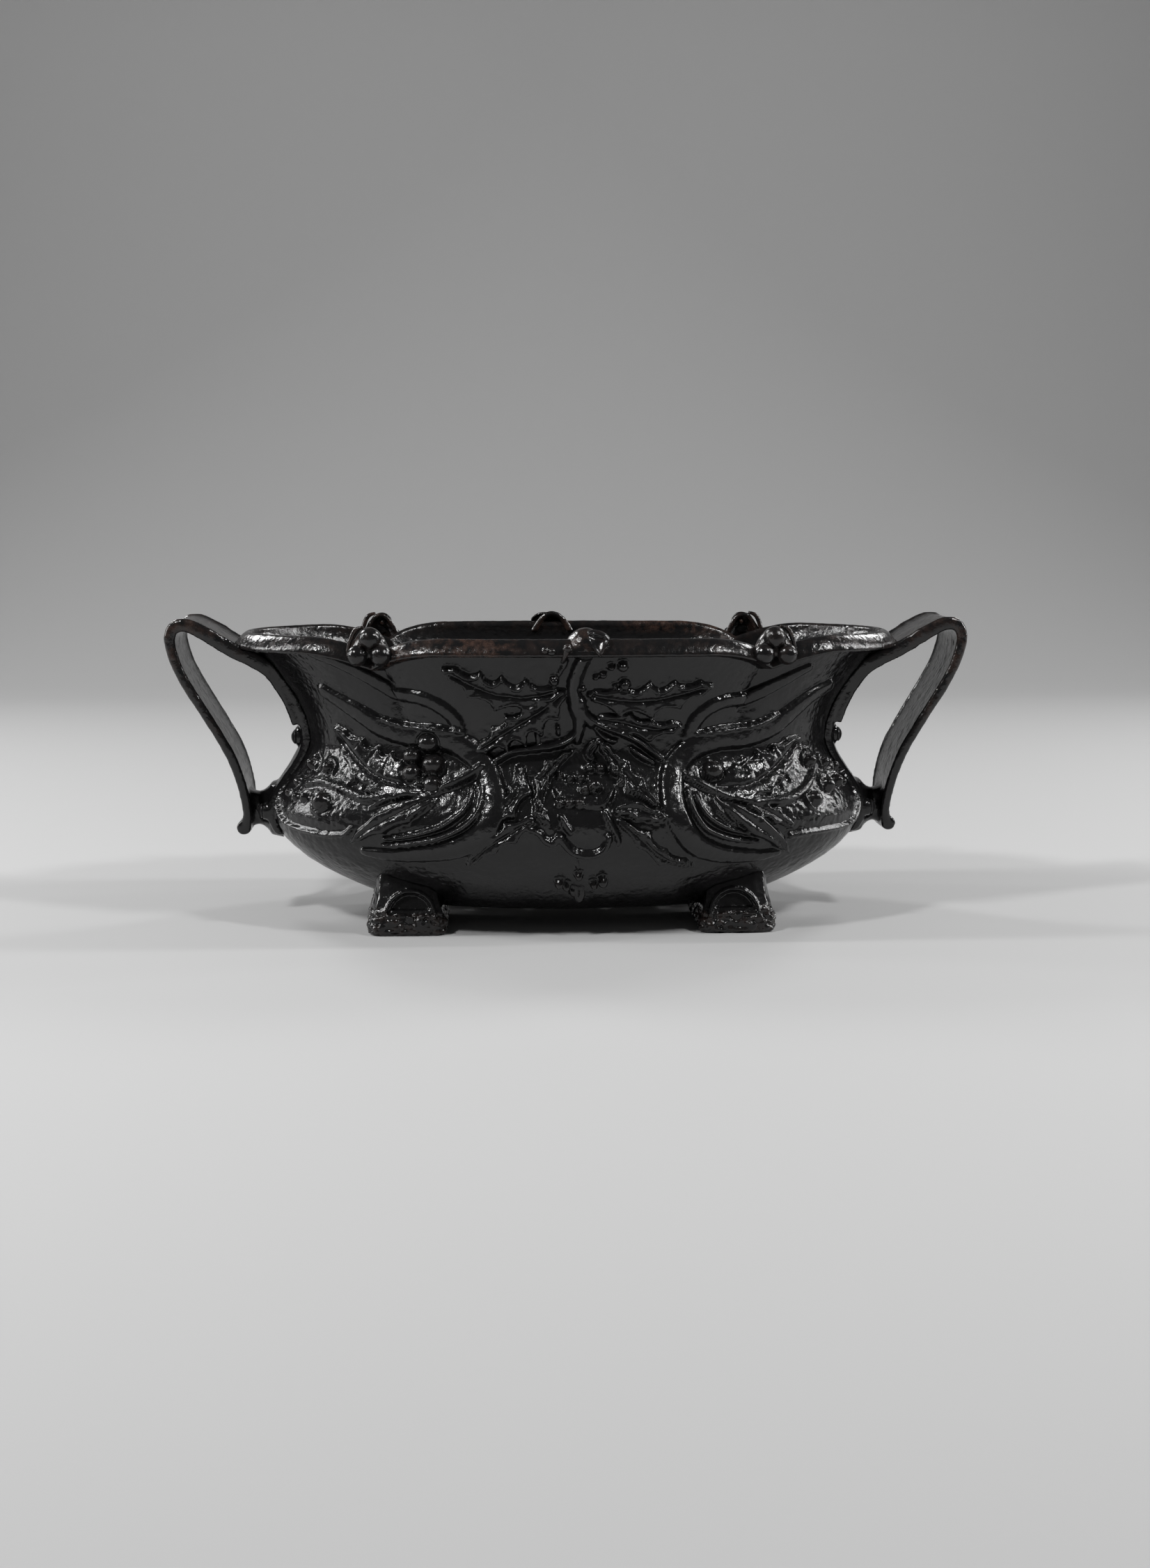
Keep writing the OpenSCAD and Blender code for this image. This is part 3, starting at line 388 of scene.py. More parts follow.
def middle_panel(r):
    """The stem with its leaves, the fruit and scroll below it, and the sprig near the base."""
    before = r.height.copy()
    # Leaves beside the stem, down to the ones under the fruit
    r.leaf([[-8, 126], [-26, 123], [-46, 126], [-65, 138]], (9, 11), 4, 2.2, curl=1.4)
    r.leaf([[8, 124], [28, 121], [48, 122], [73, 129]], (10, 10), 4, 2.2, curl=1.4)
    r.leaf([[-5, 126], [-18, 116], [-34, 107], [-55, 95]], (12, 8), 5, 3.0, curl=1.6)
    r.leaf([[14, 112], [27, 110], [44, 106], [62, 108]], (6, 8), 3, 2.2, curl=1.2)
    r.leaf([[-30, 88], [-29, 76], [-36, 66], [-47, 55]], (7, 7), 3, 2.2)
    r.leaf([[-20, 63], [-32, 56], [-44, 49], [-58, 39]], (6, 6), 3, 2.4)
    r.leaf([[42, 68], [33, 76], [26, 84], [14, 101]], (5, 7), 3, 3.4, curl=1.4)
    r.leaf([[20, 66], [30, 66.5], [38, 64], [47, 62]], (4, 5), 2, 3.2, depth=0.3, curl=1.6)
    r.leaf([[22, 62], [33, 53], [46, 43], [66, 38]], (5, 5), 3, 2.4)
    r.leaf([[12, 90], [9, 94], [15, 101]], (3, 2), 1, 2.4, depth=0.2)
    r.leaf([[-18, 70], [-16, 80], [-8, 89], [0, 95]], (6, 2.5), 3, 2.8, curl=1.6)
    r.leaf([[-14, 60], [-18, 66], [-21, 74]], (3, 4), 2, 2.2, curl=1.4)
    # Pebbled ground, the stem with its twigs, and the scroll below the fruit
    r.ground([2, 76], 16, 0.6, 2.3, 25)
    r.band([[4.5, 143], [1.5, 135], [0, 127], [1, 118], [3.5, 110], [2, 100]], 7.5, 3.6, (1, 0.5), flat=2.2,
           crown=0.35)
    r.band([[4, 121], [5.5, 114], [10, 108.5]], 5, 3.8, (0.8, 0.8), flat=2)
    r.band([[-4, 142], [-5, 139], [-7, 136], [-9, 132]], 1.9, 2.6, flat=2)
    r.band([[-10, 126], [-12, 121], [-14, 115]], 1.8, 3.4, (0.6, 0.5), flat=2)
    r.band([[3, 112], [1, 104], [-4, 100], [-12, 97.5], [-20, 96.5], [-28, 95.5], [-36, 94], [-43, 90]],
           4.0, 3.8, (0.6, 1), flat=2)
    r.band([[4, 117], [9, 112], [15, 108.5], [22, 106], [30, 103], [39, 98.5], [51, 89]],
           3.6, 3.8, (1, 0.6), flat=2)
    r.band([[12, 107], [16, 103], [20, 100.5], [24, 100]], 3.0, 3.0, (0.6, 0.7), flat=2)
    r.band([[33, 96], [38, 92], [45, 88]], 3.2, 3.0, (0.6, 0.7), flat=2)
    r.band([[-20, 97], [-20, 101], [-20.5, 105]], 2.2, 2.6, (1, 0.7), flat=2)
    r.band([[-9, 108], [-8.5, 103]], 1.6, 2.6, (0.7, 0.7), flat=2)
    r.band([[-24, 58], [-18, 56], [-15, 52.5], [-11, 51], [-8, 54], [-5, 50.5], [-1, 46.5], [5, 45],
            [11, 45.5], [15.5, 48.5], [17, 54]], 4.2, 3.4, (0.6, 0.8), flat=2)
    r.band([[-7, 64], [-5, 60], [-2, 56]], 3.2, 3.4, (0.7, 0.8), flat=2)
    r.band([[15, 66], [18, 60], [21, 54], [22.5, 49]], 3.0, 2.8, (0.7, 0.5), flat=2)
    r.band([[5, 69], [10, 68.5], [15, 69], [18, 72], [20.5, 76]], 2.4, 3.2, (0.8, 0.8), flat=2)
    r.band([[-10, 77], [-8, 72.5]], 2.0, 3.0, (0.7, 0.6), flat=2)
    r.band([[-27, 83.5], [-21, 83.5], [-16, 83]], 1.8, 2.2, (0.6, 0.8), flat=2)
    r.band([[2, 37], [1, 43]], 2.0, 2.2, (0.7, 0.6), flat=2)
    # Berries as [girth, height, radius], and the sprig's
    berries = [(-10, 131, 2.4), (9, 86, 2.5), (15, 86, 2.6), (-2, 81.5, 2.1), (4, 81.5, 2.3),
               (6, 76.5, 2.4), (11.5, 77.5, 3.2), (-3, 70, 2.2), (2.5, 70, 2.4), (-8, 70, 1.9),
               (-7.5, 83, 1.7),
               (18, 138, 1.8), (23.5, 138.5, 2.7), (11, 133, 1.6), (14.5, 134, 1.8), (26, 129, 2.7),
               (21, 128, 1.3), (4.5, 127, 1.5), (8.5, 124, 1.5), (22, 83, 1.5), (25, 79, 1.5)]
    for berry in berries:
        r.berry(*berry)
    sprig = [(-8.5, 29.5, 2.6), (-4.5, 27.5, 2.2), (2.5, 33.5, 2.2), (3.5, 22.5, 3.0), (-0.5, 24.5, 2.2),
             (12, 28.5, 2.2), (16.5, 30.5, 2.8)]
    for berry in sprig:
        r.berry(*berry, lift=0.5)
    # The middle stands a little higher than its parts were drawn
    r.height += 0.22 * np.clip(r.height - before, 0, None)


# Meshes
class Solid:
    """Vertices and faces of several closed forms, with how worn each vertex is."""
    def __init__(self):
        self.points, self.faces, self.worn, self.count = [], [], [], 0

    def add(self, points, faces, worn=0.0):
        points = np.asarray(points, float).reshape(-1, 3)
        self.points.append(points)
        self.faces += [tuple(int(i) + self.count for i in f) for f in faces]
        self.worn.append(np.broadcast_to(np.asarray(worn, float).reshape(-1), len(points)))
        self.count += len(points)

    def loft(self, sections, worn=0.0):
        """A closed form through rings of points, with its ends closed."""
        s = np.asarray(sections, float)
        n, m = s.shape[:2]
        faces = [(j * m + i, j * m + (i + 1) % m, (j + 1) * m + (i + 1) % m, (j + 1) * m + i)
                 for j in range(n - 1) for i in range(m)]
        faces += [tuple(range(m - 1, -1, -1)), tuple((n - 1) * m + i for i in range(m))]
        self.add(s, faces, worn)

    def plate(self, outside, inside, worn=0.0):
        """A bent plate between two grids of points, with its border closed."""
        n, m = outside.shape[:2]
        index = np.arange(n * m).reshape(n, m)
        a, b, c, d = index[:-1, :-1], index[1:, :-1], index[1:, 1:], index[:-1, 1:]
        faces = np.stack([a, b, c, d], -1).reshape(-1, 4).tolist()
        faces += (np.stack([d, c, b, a], -1).reshape(-1, 4) + n * m).tolist()
        border = [*index[:, 0], *index[-1, 1:], *index[::-1, -1][1:], *index[0, ::-1][1:-1]]
        faces += [(after, at, at + n * m, after + n * m)
                  for at, after in zip(border, border[1:] + border[:1])]
        self.add(np.concatenate([outside.reshape(-1, 3), inside.reshape(-1, 3)]), faces, worn)

    def ball(self, centre, radius, worn, back=1.0):
        """A ball; back is the share of its radius that is left towards the inside of the bowl."""
        rings, around = 16, 24
        lat = np.linspace(-np.pi / 2 + 0.08, np.pi / 2 - 0.08, rings)
        lon = np.linspace(0, 2 * np.pi, around, endpoint=False)
        self.loft([np.stack([centre[0] + radius * np.cos(a) * np.cos(lon),
                             centre[1] + radius * np.minimum(np.cos(a) * np.sin(lon), back),
                             np.full(around, centre[2] + radius * np.sin(a))], -1)
                   for a in lat], worn)

    def mesh(self, name, turned=False):
        """One mesh of all forms in metres; turned is half a turn about the upright axis."""
        points = np.vstack(self.points)
        if turned:
            points = points * (-1, -1, 1)
        points = np.clip(points * TO_METRES, cad_low + BOX_ROOM, cad_high - BOX_ROOM)
        made = bpy.data.meshes.new(name)
        made.from_pydata(points.tolist(), [], self.faces)
        set_worn(made, np.concatenate(self.worn))
        made.update()
        return made


def set_worn(mesh, values):
    """How worn each vertex is, from 0 to 1, for the paint."""
    if "worn" in mesh.attributes:
        mesh.attributes.remove(mesh.attributes["worn"])
    mesh.attributes.new("worn", "FLOAT", "POINT").data.foreach_set("value", values)


def shown(name, mesh):
    piece = bpy.data.objects.new(name, mesh)
    bpy.context.scene.collection.objects.link(piece)
    mesh.polygons.foreach_set("use_smooth", [True] * len(mesh.polygons))
    return piece


# The lip: [distance in from the rim, height] from its undercut edge over the top to the inside
LIP = [(4.5, 143.1), (2.2, 143.1), (0.9, 143.3), (0.3, 143.8), (0.2, 144.4), (0.5, 145.4), (1.1, 146.5),
       (1.9, 147.7), (2.9, 148.9), (3.9, 150.0), (5.0, 150.9), (6.1, 151.6), (7.0, 151.9), (7.9, 151.7),
       (8.6, 151.0), (9.0, 150.1), (9.2, 148.8)]
# Where along X the lip's paint is worn to brown
BROWN_LEFT, BROWN_RIGHT = -105.0, -25.0


def grid_girths():
    """Girths of the grid: even steps, and a few more round each end to the seam."""
    fine = np.arange(-GRID_END, GRID_END + 0.01, GRID)
    ends = np.linspace(GIRTHS[-1], SEAM_END, 7)
    return np.concatenate([-ends, fine, ends[::-1]])


def grid_heights():
    """Heights of the grid: even steps along the wall, and a few below it, where the wall is plain."""
    heights = np.linspace(BASE_Z, LIP_Z - 0.05, 4000)
    line = np.stack([profile(heights, HALF_LEN) * 0.5 + profile(heights, HALF_DEP) * 0.5, heights], -1)
    run = np.concatenate([[0], np.cumsum(np.linalg.norm(np.diff(line, axis=0), axis=1))])
    first = np.interp(PLAIN_Z, heights, run)
    steps = np.concatenate([np.linspace(0, first, 12, endpoint=False),
                            np.arange(first, run[-1], GRID), [run[-1]]])
    return np.interp(steps, run, heights)


def outer_face(relief, fade):
    """The outer wall with its relief and its rough cast surface."""
    p = relief.points
    cast = 0.16 * noise(p, 5.5, 1) + 0.12 * noise(p, 2.3, 2) - 0.10 * pebbles(p, 2.6, 7)
    cast = cast * (0.4 + 0.6 * smooth((p[..., 2] - 20) / 15))
    return p + relief.normals * ((relief.height * fade[None, :] + cast * fade[None, :])[..., None])


def lip_face(t, fade):
    """The lip round the half, a little uneven in height and width."""
    rows = np.array([[HALF_LEN[3] - i, HALF_DEP[3] - i, z, 1] for i, z in LIP])
    lip = place(rows[:, None, :], t[None, :])
    rough = 0.08 * noise(lip, 4.0, 3) + 0.05 * noise(lip, 1.8, 4)
    lip = lip + np.array([0, 0, 1]) * (rough * fade[None, :])[..., None]
    lip[:, :, :2] *= 1 - 0.0012 * np.abs(noise(lip, 3.0, 8) * fade[None, :])[..., None]
    return lip


def inner_face(t, fade):
    """The inner wall, a wall's thickness behind the outer one, and the ledge for the floor plate."""
    z = np.linspace(LIP_Z - 1.5, BASE_Z + 4.6, 26)
    slope = (profile(z + 0.5, HALF_LEN) - profile(z - 0.5, HALF_LEN)
             + profile(z + 0.5, HALF_DEP) - profile(z - 0.5, HALF_DEP)) / 2
    k = WALL / np.sqrt(1 + slope ** 2)
    rows = wall_rows(z)
    rows[:, 0] -= k
    rows[:, 1] -= k
    rows[:, 2] += k * slope
    rows[:, 2] = np.maximum(rows[:, 2], BASE_Z + LEDGE_T + 0.05 + (z - z[-1]) * 0.4)
    ledge = np.array([[HALF_LEN[0] - LEDGE_W, HALF_DEP[0] - LEDGE_W, BASE_Z + LEDGE_T, 0],
                      [HALF_LEN[0] - LEDGE_W, HALF_DEP[0] - LEDGE_W, BASE_Z, 0]])
    inner = place(np.vstack([rows, ledge])[:, None, :], t[None, :])
    inner[:-2] += 0.25 * (noise(inner[:-2], 6, 9) * fade[None, :])[..., None] * np.array([0, 0, 1])
    return inner


def half_casting():
    """The wall of one half with its relief, lip, inner wall and ledge, as one closed form."""
    girths = grid_girths()
    t = angle_at(girths)
    relief = Relief(girths, grid_heights())
    left_panel(relief)
    right_panel(relief)
    middle_panel(relief)
    # The relief fades out towards the seam, which stays flat
    fade = smooth((SEAM_END + 2 - np.abs(girths)) / 5)
    outer, lip, inner = outer_face(relief, fade), lip_face(t, fade), inner_face(t, fade)

    grid = np.concatenate([outer, lip, inner])
    grid[:, 0, 1] = 0
    grid[:, -1, 1] = 0
    m, n = grid.shape[:2]
    index = np.arange(m * n).reshape(m, n)
    a, d = index, np.roll(index, -1, axis=0)
    quads = np.stack([a[:, :-1], a[:, 1:], d[:, 1:], d[:, :-1]], -1).reshape(-1, 4)
    faces = quads.tolist() + [index[:, 0].tolist(), index[::-1, -1].tolist()]
    worn = np.zeros((m, n))
    worn[:len(outer)] = relief.worn
    brown = smooth((lip[..., 0] - BROWN_LEFT) / 15) * smooth((BROWN_RIGHT - lip[..., 0]) / 15)
    worn[len(outer):len(outer) + len(lip)] = 0.12 + 0.5 * brown
    solid = Solid()
    solid.add(grid, faces, worn.reshape(-1))
    return solid


def dome(solid, centre, width, depth, height, thick, flare=0.35):
    """A hollow hood that opens towards the inside of the bowl."""
    arch, out = np.linspace(0, np.pi, 29), np.linspace(0, np.pi / 2 * 0.985, 13)
    th, ps = np.meshgrid(arch, out, indexing="ij")

    def skin(w, d, h):
        wide = 1 + flare * (1 - np.sin(th)) ** 2
        return np.stack([centre[0] + w * np.cos(th) * np.cos(ps) * wide, centre[1] - d * np.sin(ps),
                         centre[2] + h * np.sin(th) * np.cos(ps)], -1)

    outside, inside = skin(width, depth, height), skin(width - thick, depth - thick, height - thick)
    rough = noise(outside, 2.2, 41)[..., None] * 0.2
    outside = outside + rough * (outside - np.array(centre)) / width
    solid.plate(outside, inside, 0.35)


def tube(solid, points, radii, worn=0.2, sides=10):
    """A round stem along points, with a radius for each."""
    path = spline(points, 4)
    sizes = np.interp(np.linspace(0, 1, len(path)), np.linspace(0, 1, len(radii)), radii)
    ahead = np.gradient(path, axis=0)
    ahead /= np.linalg.norm(ahead, axis=1, keepdims=True)
    side = np.cross(ahead, [0, 1, 0.2])
    side /= np.linalg.norm(side, axis=1, keepdims=True)
    up = np.cross(ahead, side)
    turn = np.linspace(0, 2 * np.pi, sides, endpoint=False)
    rings = [path[i] + sizes[i] * (np.outer(np.cos(turn), side[i]) + np.outer(np.sin(turn), up[i]))
             for i in range(len(path))]
    solid.loft(rings, worn)


# Berries before a rim hood: [along, out, up, radius] from the middle of its notch
CLUSTER = [(-5.9, 4.2, -4.6, 5.4), (5.9, 3.0, -4.8, 5.3), (-0.4, 2.4, 3.6, 5.7)]


def notch_hood(solid, side, front):
    """A hood in a rim notch, with its three large berries, a small one and a rib down its side."""
    x, y, z = side * (NOTCH_X - 5), front + NOTCH_IN + 11, RIM_Z - 4
    dome(solid, (x, y + 3, z - 6), 8.8, 7.5, 15.2, 2.2)
    for along, out, up, radius in CLUSTER:
        solid.ball((x + side * along, y - out, z + up), radius, 0.1, back=0.2)
    solid.ball((x - side * 1.0, y + 0.6, z + 4.0), 1.5, 1.0)
    rib = [(3.0, 2.2, 9.2), (7.2, 3.0, 7.4), (9.6, 3.6, 2.0), (11.2, 4.0, -4.0)]
    tube(solid, [(x + side * along, y + back, z + up) for along, back, up in rib], (0.7, 1.3, 1.3, 0.9), 0.5)


# The folded leaf tip on the lip: rows of [x, back from the rim, z] from its fold on top down to its tip
LEAF_TIP = [
    [(5.0, 6.4, 155.0), (8.5, 5.2, 156.6), (12.0, 4.4, 156.4), (15.0, 4.2, 155.2), (17.4, 5.2, 153.0)],
    [(5.4, 4.4, 154.0), (9.0, 2.7, 155.2), (12.5, 1.8, 154.8), (15.2, 1.4, 153.8), (17.3, 2.4, 152.4)],
    [(6.6, 3.2, 151.4), (9.4, 1.4, 152.0), (12.0, 0.6, 151.8), (14.4, 0.2, 151.4), (16.4, 1.0, 150.8)],
    [(8.2, 1.4, 148.8), (10.0, 0.0, 149.0), (12.0, -0.7, 149.0), (13.8, -1.1, 149.0), (15.2, -0.4, 148.8)],
    [(10.2, -0.4, 146), (11.2, -1.6, 146), (12.2, -2.2, 146), (13.2, -2.3, 146), (14.0, -1.4, 146.2)],
    [(11.6, -1.4, 144.2), (12.1, -2.2, 144), (12.6, -2.6, 143.9), (13.0, -2.5, 144), (13.4, -1.8, 144.2)]]


def leaf_tip(solid, front):
    """The leaf's folded tip, with the slit under its fold and a hollow down its middle."""
    grid = np.array(LEAF_TIP, float)
    grid[..., 1] += front
    fine = np.stack([spline(row, 5) for row in grid])
    fine = np.stack([spline(fine[:, i], 5) for i in range(fine.shape[1])], 1)
    x, z = fine[..., 0], fine[..., 2]
    slit = np.exp(-((z - 153.3 + (x - 11) * 0.25) / 0.6) ** 2)
    slit *= smooth((x - 7.0) / 1.5) * smooth((15.8 - x) / 1.5)
    hollow = np.exp(-((x - 12.2) / 1.8) ** 2) * smooth((z - 145) / 3) * smooth((152.5 - z) / 2)
    fine[..., 1] += 1.9 * slit + 0.6 * hollow
    solid.plate(fine, fine + np.array([0, 3.4, -0.6]), 0.1)


def rim_ornament(solid):
    """Hoods with berries in the rim's notches, and the leaf that curls over the middle of the lip."""
    front = -HALF_DEP[3]
    for side in (-1, 1):
        notch_hood(solid, side, front)
    dome(solid, (5.5, front + 10.5, 146.0), 9.4, 10.0, 11.4, 2.8, 0.3)
    stalk = [(-4.0, front - 0.2, 147.5), (-4.6, front + 0.4, 144.5), (-6.0, front + 3.2, 140.5)]
    tube(solid, stalk, (2.0, 1.3, 1.0))
    for x, back, z, radius in [(-3.6, -0.3, 147.8, 2.2), (-14.7, 0.7, 146.6, 1.8), (-11.4, 0.7, 145.9, 2.0)]:
        solid.ball((x, front + back, z), radius, 0.1)
    leaf_tip(solid, front)


def rod_x(solid, x0, x1, y, z, radius, bevel=0.5):
    """A round boss along X, bevelled at its end at x1."""
    turn = np.linspace(0, 2 * np.pi, 32, endpoint=False)
    spots = [(x0, radius), (x1 - bevel, radius), (x1 - bevel * 0.3, radius - bevel * 0.3),
             (x1, radius - bevel)]
    if x1 < x0:
        spots = [(x0, radius), (x1 + bevel, radius), (x1, radius - bevel)]
    solid.loft([np.stack([np.full(32, x), y + r * np.cos(turn), z + r * np.sin(turn)], -1)
                for x, r in spots])


def castings():
    """The front casting with its ornament and the pads for the nuts, and its copy after half a turn."""
    front = half_casting()
    rim_ornament(front)
    for side in (-1, 1):
        for y, z in SCREWS:
            if y < 0:
                half = half_length(z)
                rod_x(front, side * (half - 1.5), side * (half - WALL - 3), y, z, PAD_R)
    for points in front.points:
        points[:, 1] -= SEAM_GAP / 2
    return (shown("front_casting", front.mesh("front_casting")),
            shown("rear_casting", front.mesh("rear_casting", turned=True)))


# Handles: centre line of the grip as [x, z, thickness, half width]
TIP_X, TOP_Z, ROOT_T, GRIP_T = 210.0, 160.0, 8.5, 5.2
GRIP = [(143.6, 103.0, 4.0, 16.0), (146.2, 113.0, 6.4, 16.5), (151.0, 124.0, ROOT_T, 17.0),
        (158.8, 134.0, ROOT_T, 21.5), (177.0, 144.0, ROOT_T, 23.5),
        (TIP_X - 22, TOP_Z - 9, 8.1, 25.0), (TIP_X - 12, TOP_Z - 4.2, 7.65, 25.0),
        (TIP_X - 5.3, TOP_Z - 5.4, 7.0, 25.0), (TIP_X - 2.9, TOP_Z - 12, GRIP_T * 1.2, 25.0),
        (TIP_X - 5.4, TOP_Z - 23, GRIP_T * 1.12, 25.0), (TIP_X - 10.9, TOP_Z - 34.8, GRIP_T * 1.08, 25.0),
        (TIP_X - 21.7, TOP_Z - 52.8, GRIP_T * 1.04, 24.0),
        (TIP_X - 31.4, TOP_Z - 69.8, GRIP_T * 1.04, 23.0),
        (173.6, BELLY_Z + 20, GRIP_T * 1.04, 21.0), (171.2, BELLY_Z + 9, GRIP_T, 18.0),
        (170.0, BELLY_Z - 2, GRIP_T, 15.5), (171.5, BELLY_Z - 10, GRIP_T * 1.15, 13.5)]


def outer_x(y, z):
    """Distance of the bowl's outer face from the centre, near an end."""
    lip = np.array(LIP[1:13])
    half_len = np.where(z < LIP_Z, profile(z, HALF_LEN), HALF_LEN[3] - np.interp(z, lip[:, 1], lip[:, 0]))
    half_dep = np.where(z < LIP_Z, profile(z, HALF_DEP), HALF_DEP[3] - 2)
    return half_len * (1 - np.clip(np.abs(y) / half_dep, 0, 0.98) ** SQUARENESS) ** (1 / SQUARENESS)


def strap(solid):
    """The grip: a strap with a bead along both edges, thinner between them."""
    stations = spline(GRIP, 5)
    ahead = np.gradient(stations[:, :2], axis=0)
    ahead /= np.linalg.norm(ahead, axis=1, keepdims=True)
    bead = EDGE_W / 2
    edges = np.concatenate([np.array([0.02, 0.12, 0.4, 1.0, 1.6, 2.2, 2.8]) * bead, [2 * bead * 1.8]])
    sections = []
    for (x, z, t, w), (dx, dz) in zip(stations, ahead):
        across = np.concatenate([-(w - edges), np.linspace(-w + 9, w - 9, 9), (w - edges)[::-1]])
        off = w - np.abs(across)
        on_bead = t / 2 * np.sqrt(np.clip(1 - ((off - bead) / bead) ** 2, 0.02, 1))
        web = t / 2 * 0.66
        on_web = web + (t / 2 - web) * np.clip(1 - (off - bead) / (1.6 * bead), 0, 1) ** 1.5
        half = np.where(off < bead, on_bead, on_web)
        ring = [*zip(across, half), *zip(across[::-1], -half[::-1])]
        sections.append([(x - dz * q, y, z + dx * q) for y, q in ring])
    solid.loft(sections)


def end_strap(solid):
    """A slice of the bowl's own form, grown to its thickness."""
    ys, zs = np.linspace(-SPINE_W / 2, SPINE_W / 2, 31), np.linspace(SPINE_FOOT_Z, SPINE_TOP_Z, 75)
    y, z = np.meshgrid(ys, zs, indexing="ij")
    face = outer_x(y, z)
    edge = np.minimum(SPINE_W / 2 - np.abs(y), np.minimum(z - SPINE_FOOT_Z, SPINE_TOP_Z - z) * 1.5)
    bead = 0.5 * np.exp(-((SPINE_W / 2 - np.abs(y) - 1.6) / 1.1) ** 2)
    grown = SEAT_GAP + SPINE_T - 1.3 * np.clip(1 - edge / 1.3, 0, 1) ** 2 - 0.5 + bead
    rows = [np.stack([face[:, j] + grown[:, j], y[:, j], z[:, j]], -1) for j in range(len(zs))]
    backs = [np.stack([face[:, j] - 1.0, y[:, j], z[:, j]], -1)[::-1] for j in range(len(zs))]
    solid.loft([np.vstack([a, b]) for a, b in zip(rows, backs)])


# The lug's neck as [x, half width, half height], and the roll at the grip's foot
NECK = [(152, 14, 15.5), (158, 13, 14), (160, 10.5, 11.5), (162.5, 8.4, 9.4), (165, 7.4, 8.6),
        (167.5, 8.2, 9.2), (169.5, 10.2, 10.4), (171.5, 12, 11)]
ROLL_X, ROLL_DROP, ROLL_R, ROLL_HALF = 172.2, 9.0, 3.8, 13.5


def lug(solid):
    """The neck between belly and grip, flared at both ends, and the roll at the grip's foot."""
    turn = np.linspace(0, 2 * np.pi, 40, endpoint=False)
    c, s = np.cos(turn), np.sin(turn)
    round_box = np.stack([np.sign(c) * np.abs(c) ** 0.6, np.sign(s) * np.abs(s) ** 0.6], -1)
    solid.loft([np.stack([np.full(40, x), wide * round_box[:, 0], BELLY_Z + tall * round_box[:, 1]], -1)
                for x, wide, tall in NECK])
    solid.loft([np.stack([ROLL_X + ROLL_R * c, np.full(40, y), BELLY_Z - ROLL_DROP + ROLL_R * s], -1)
                for y in (-ROLL_HALF, ROLL_HALF)])


def fused(name, mesh, voxel):
    """One skin round all forms in a mesh, with its creases rounded a little."""
    piece = bpy.data.objects.new(name + "_raw", mesh)
    bpy.context.scene.collection.objects.link(piece)
    remesh = piece.modifiers.new("skin", "REMESH")
    remesh.mode = "VOXEL"
    remesh.voxel_size = voxel * TO_METRES
    round_off = piece.modifiers.new("round", "SMOOTH")
    round_off.factor, round_off.iterations = 0.5, 3
    bpy.context.view_layer.update()
    made = bpy.data.meshes.new_from_object(piece.evaluated_get(bpy.context.evaluated_depsgraph_get()))
    made.name = name
    bpy.data.objects.remove(piece)
    bpy.data.meshes.remove(mesh)
    return made


def points_of(mesh):
    """A mesh's points in millimetres."""
    co = np.empty(len(mesh.vertices) * 3)
    mesh.vertices.foreach_get("co", co)
    return co.reshape(-1, 3) / TO_METRES


def normals_of(mesh):
    co = np.empty(len(mesh.vertices) * 3)
    mesh.vertices.foreach_get("normal", co)
    return co.reshape(-1, 3)


def set_points(mesh, points):
    points = np.clip(points * TO_METRES, cad_low + BOX_ROOM, cad_high - BOX_ROOM)
    mesh.vertices.foreach_set("co", points.reshape(-1))
    mesh.update()


def handles():
    """Both handles: strap, end strap, lug and screw heads in one skin, and its copy after half a turn."""
    solid = Solid()
    strap(solid)
    end_strap(solid)
    lug(solid)
    for y, z in SCREWS:
        half = half_length(z)
        rod_x(solid, half, half + SEAT_GAP + SPINE_T + 1, y, z, HEAD_R)
    skin = fused("right_grip", solid.mesh("handle_raw"), HANDLE_VOXEL)
    p = points_of(skin)
    cast = 0.13 * noise(p, 5.0, 51) + 0.09 * noise(p, 2.2, 52)
    p = p + normals_of(skin) * cast[:, None]
    p[:, 0] = np.maximum(p[:, 0], outer_x(p[:, 1], p[:, 2]) + SEAT_GAP)
    set_points(skin, p)
    rub = smooth((p[:, 2] - 120) / 40) * 0.15 + 0.25 * smooth((np.abs(p[:, 1]) - 22) / 3)
    set_worn(skin, rub)
    other = skin.copy()
    other.name = "left_grip"
    set_points(other, points_of(other) * (-1, -1, 1))
    return shown("left_handle_casting", other), shown("right_handle_casting", skin)


# Feet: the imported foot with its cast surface. Its pebbled part is a band at the base, a strip up the outer
# side and the inside of the arch
BAND_Z, STRIP_Z, STRIP_X, ARCH_Z, ARCH_HALF = 12.0, 22.0, 9.5, 15.5, 13.0


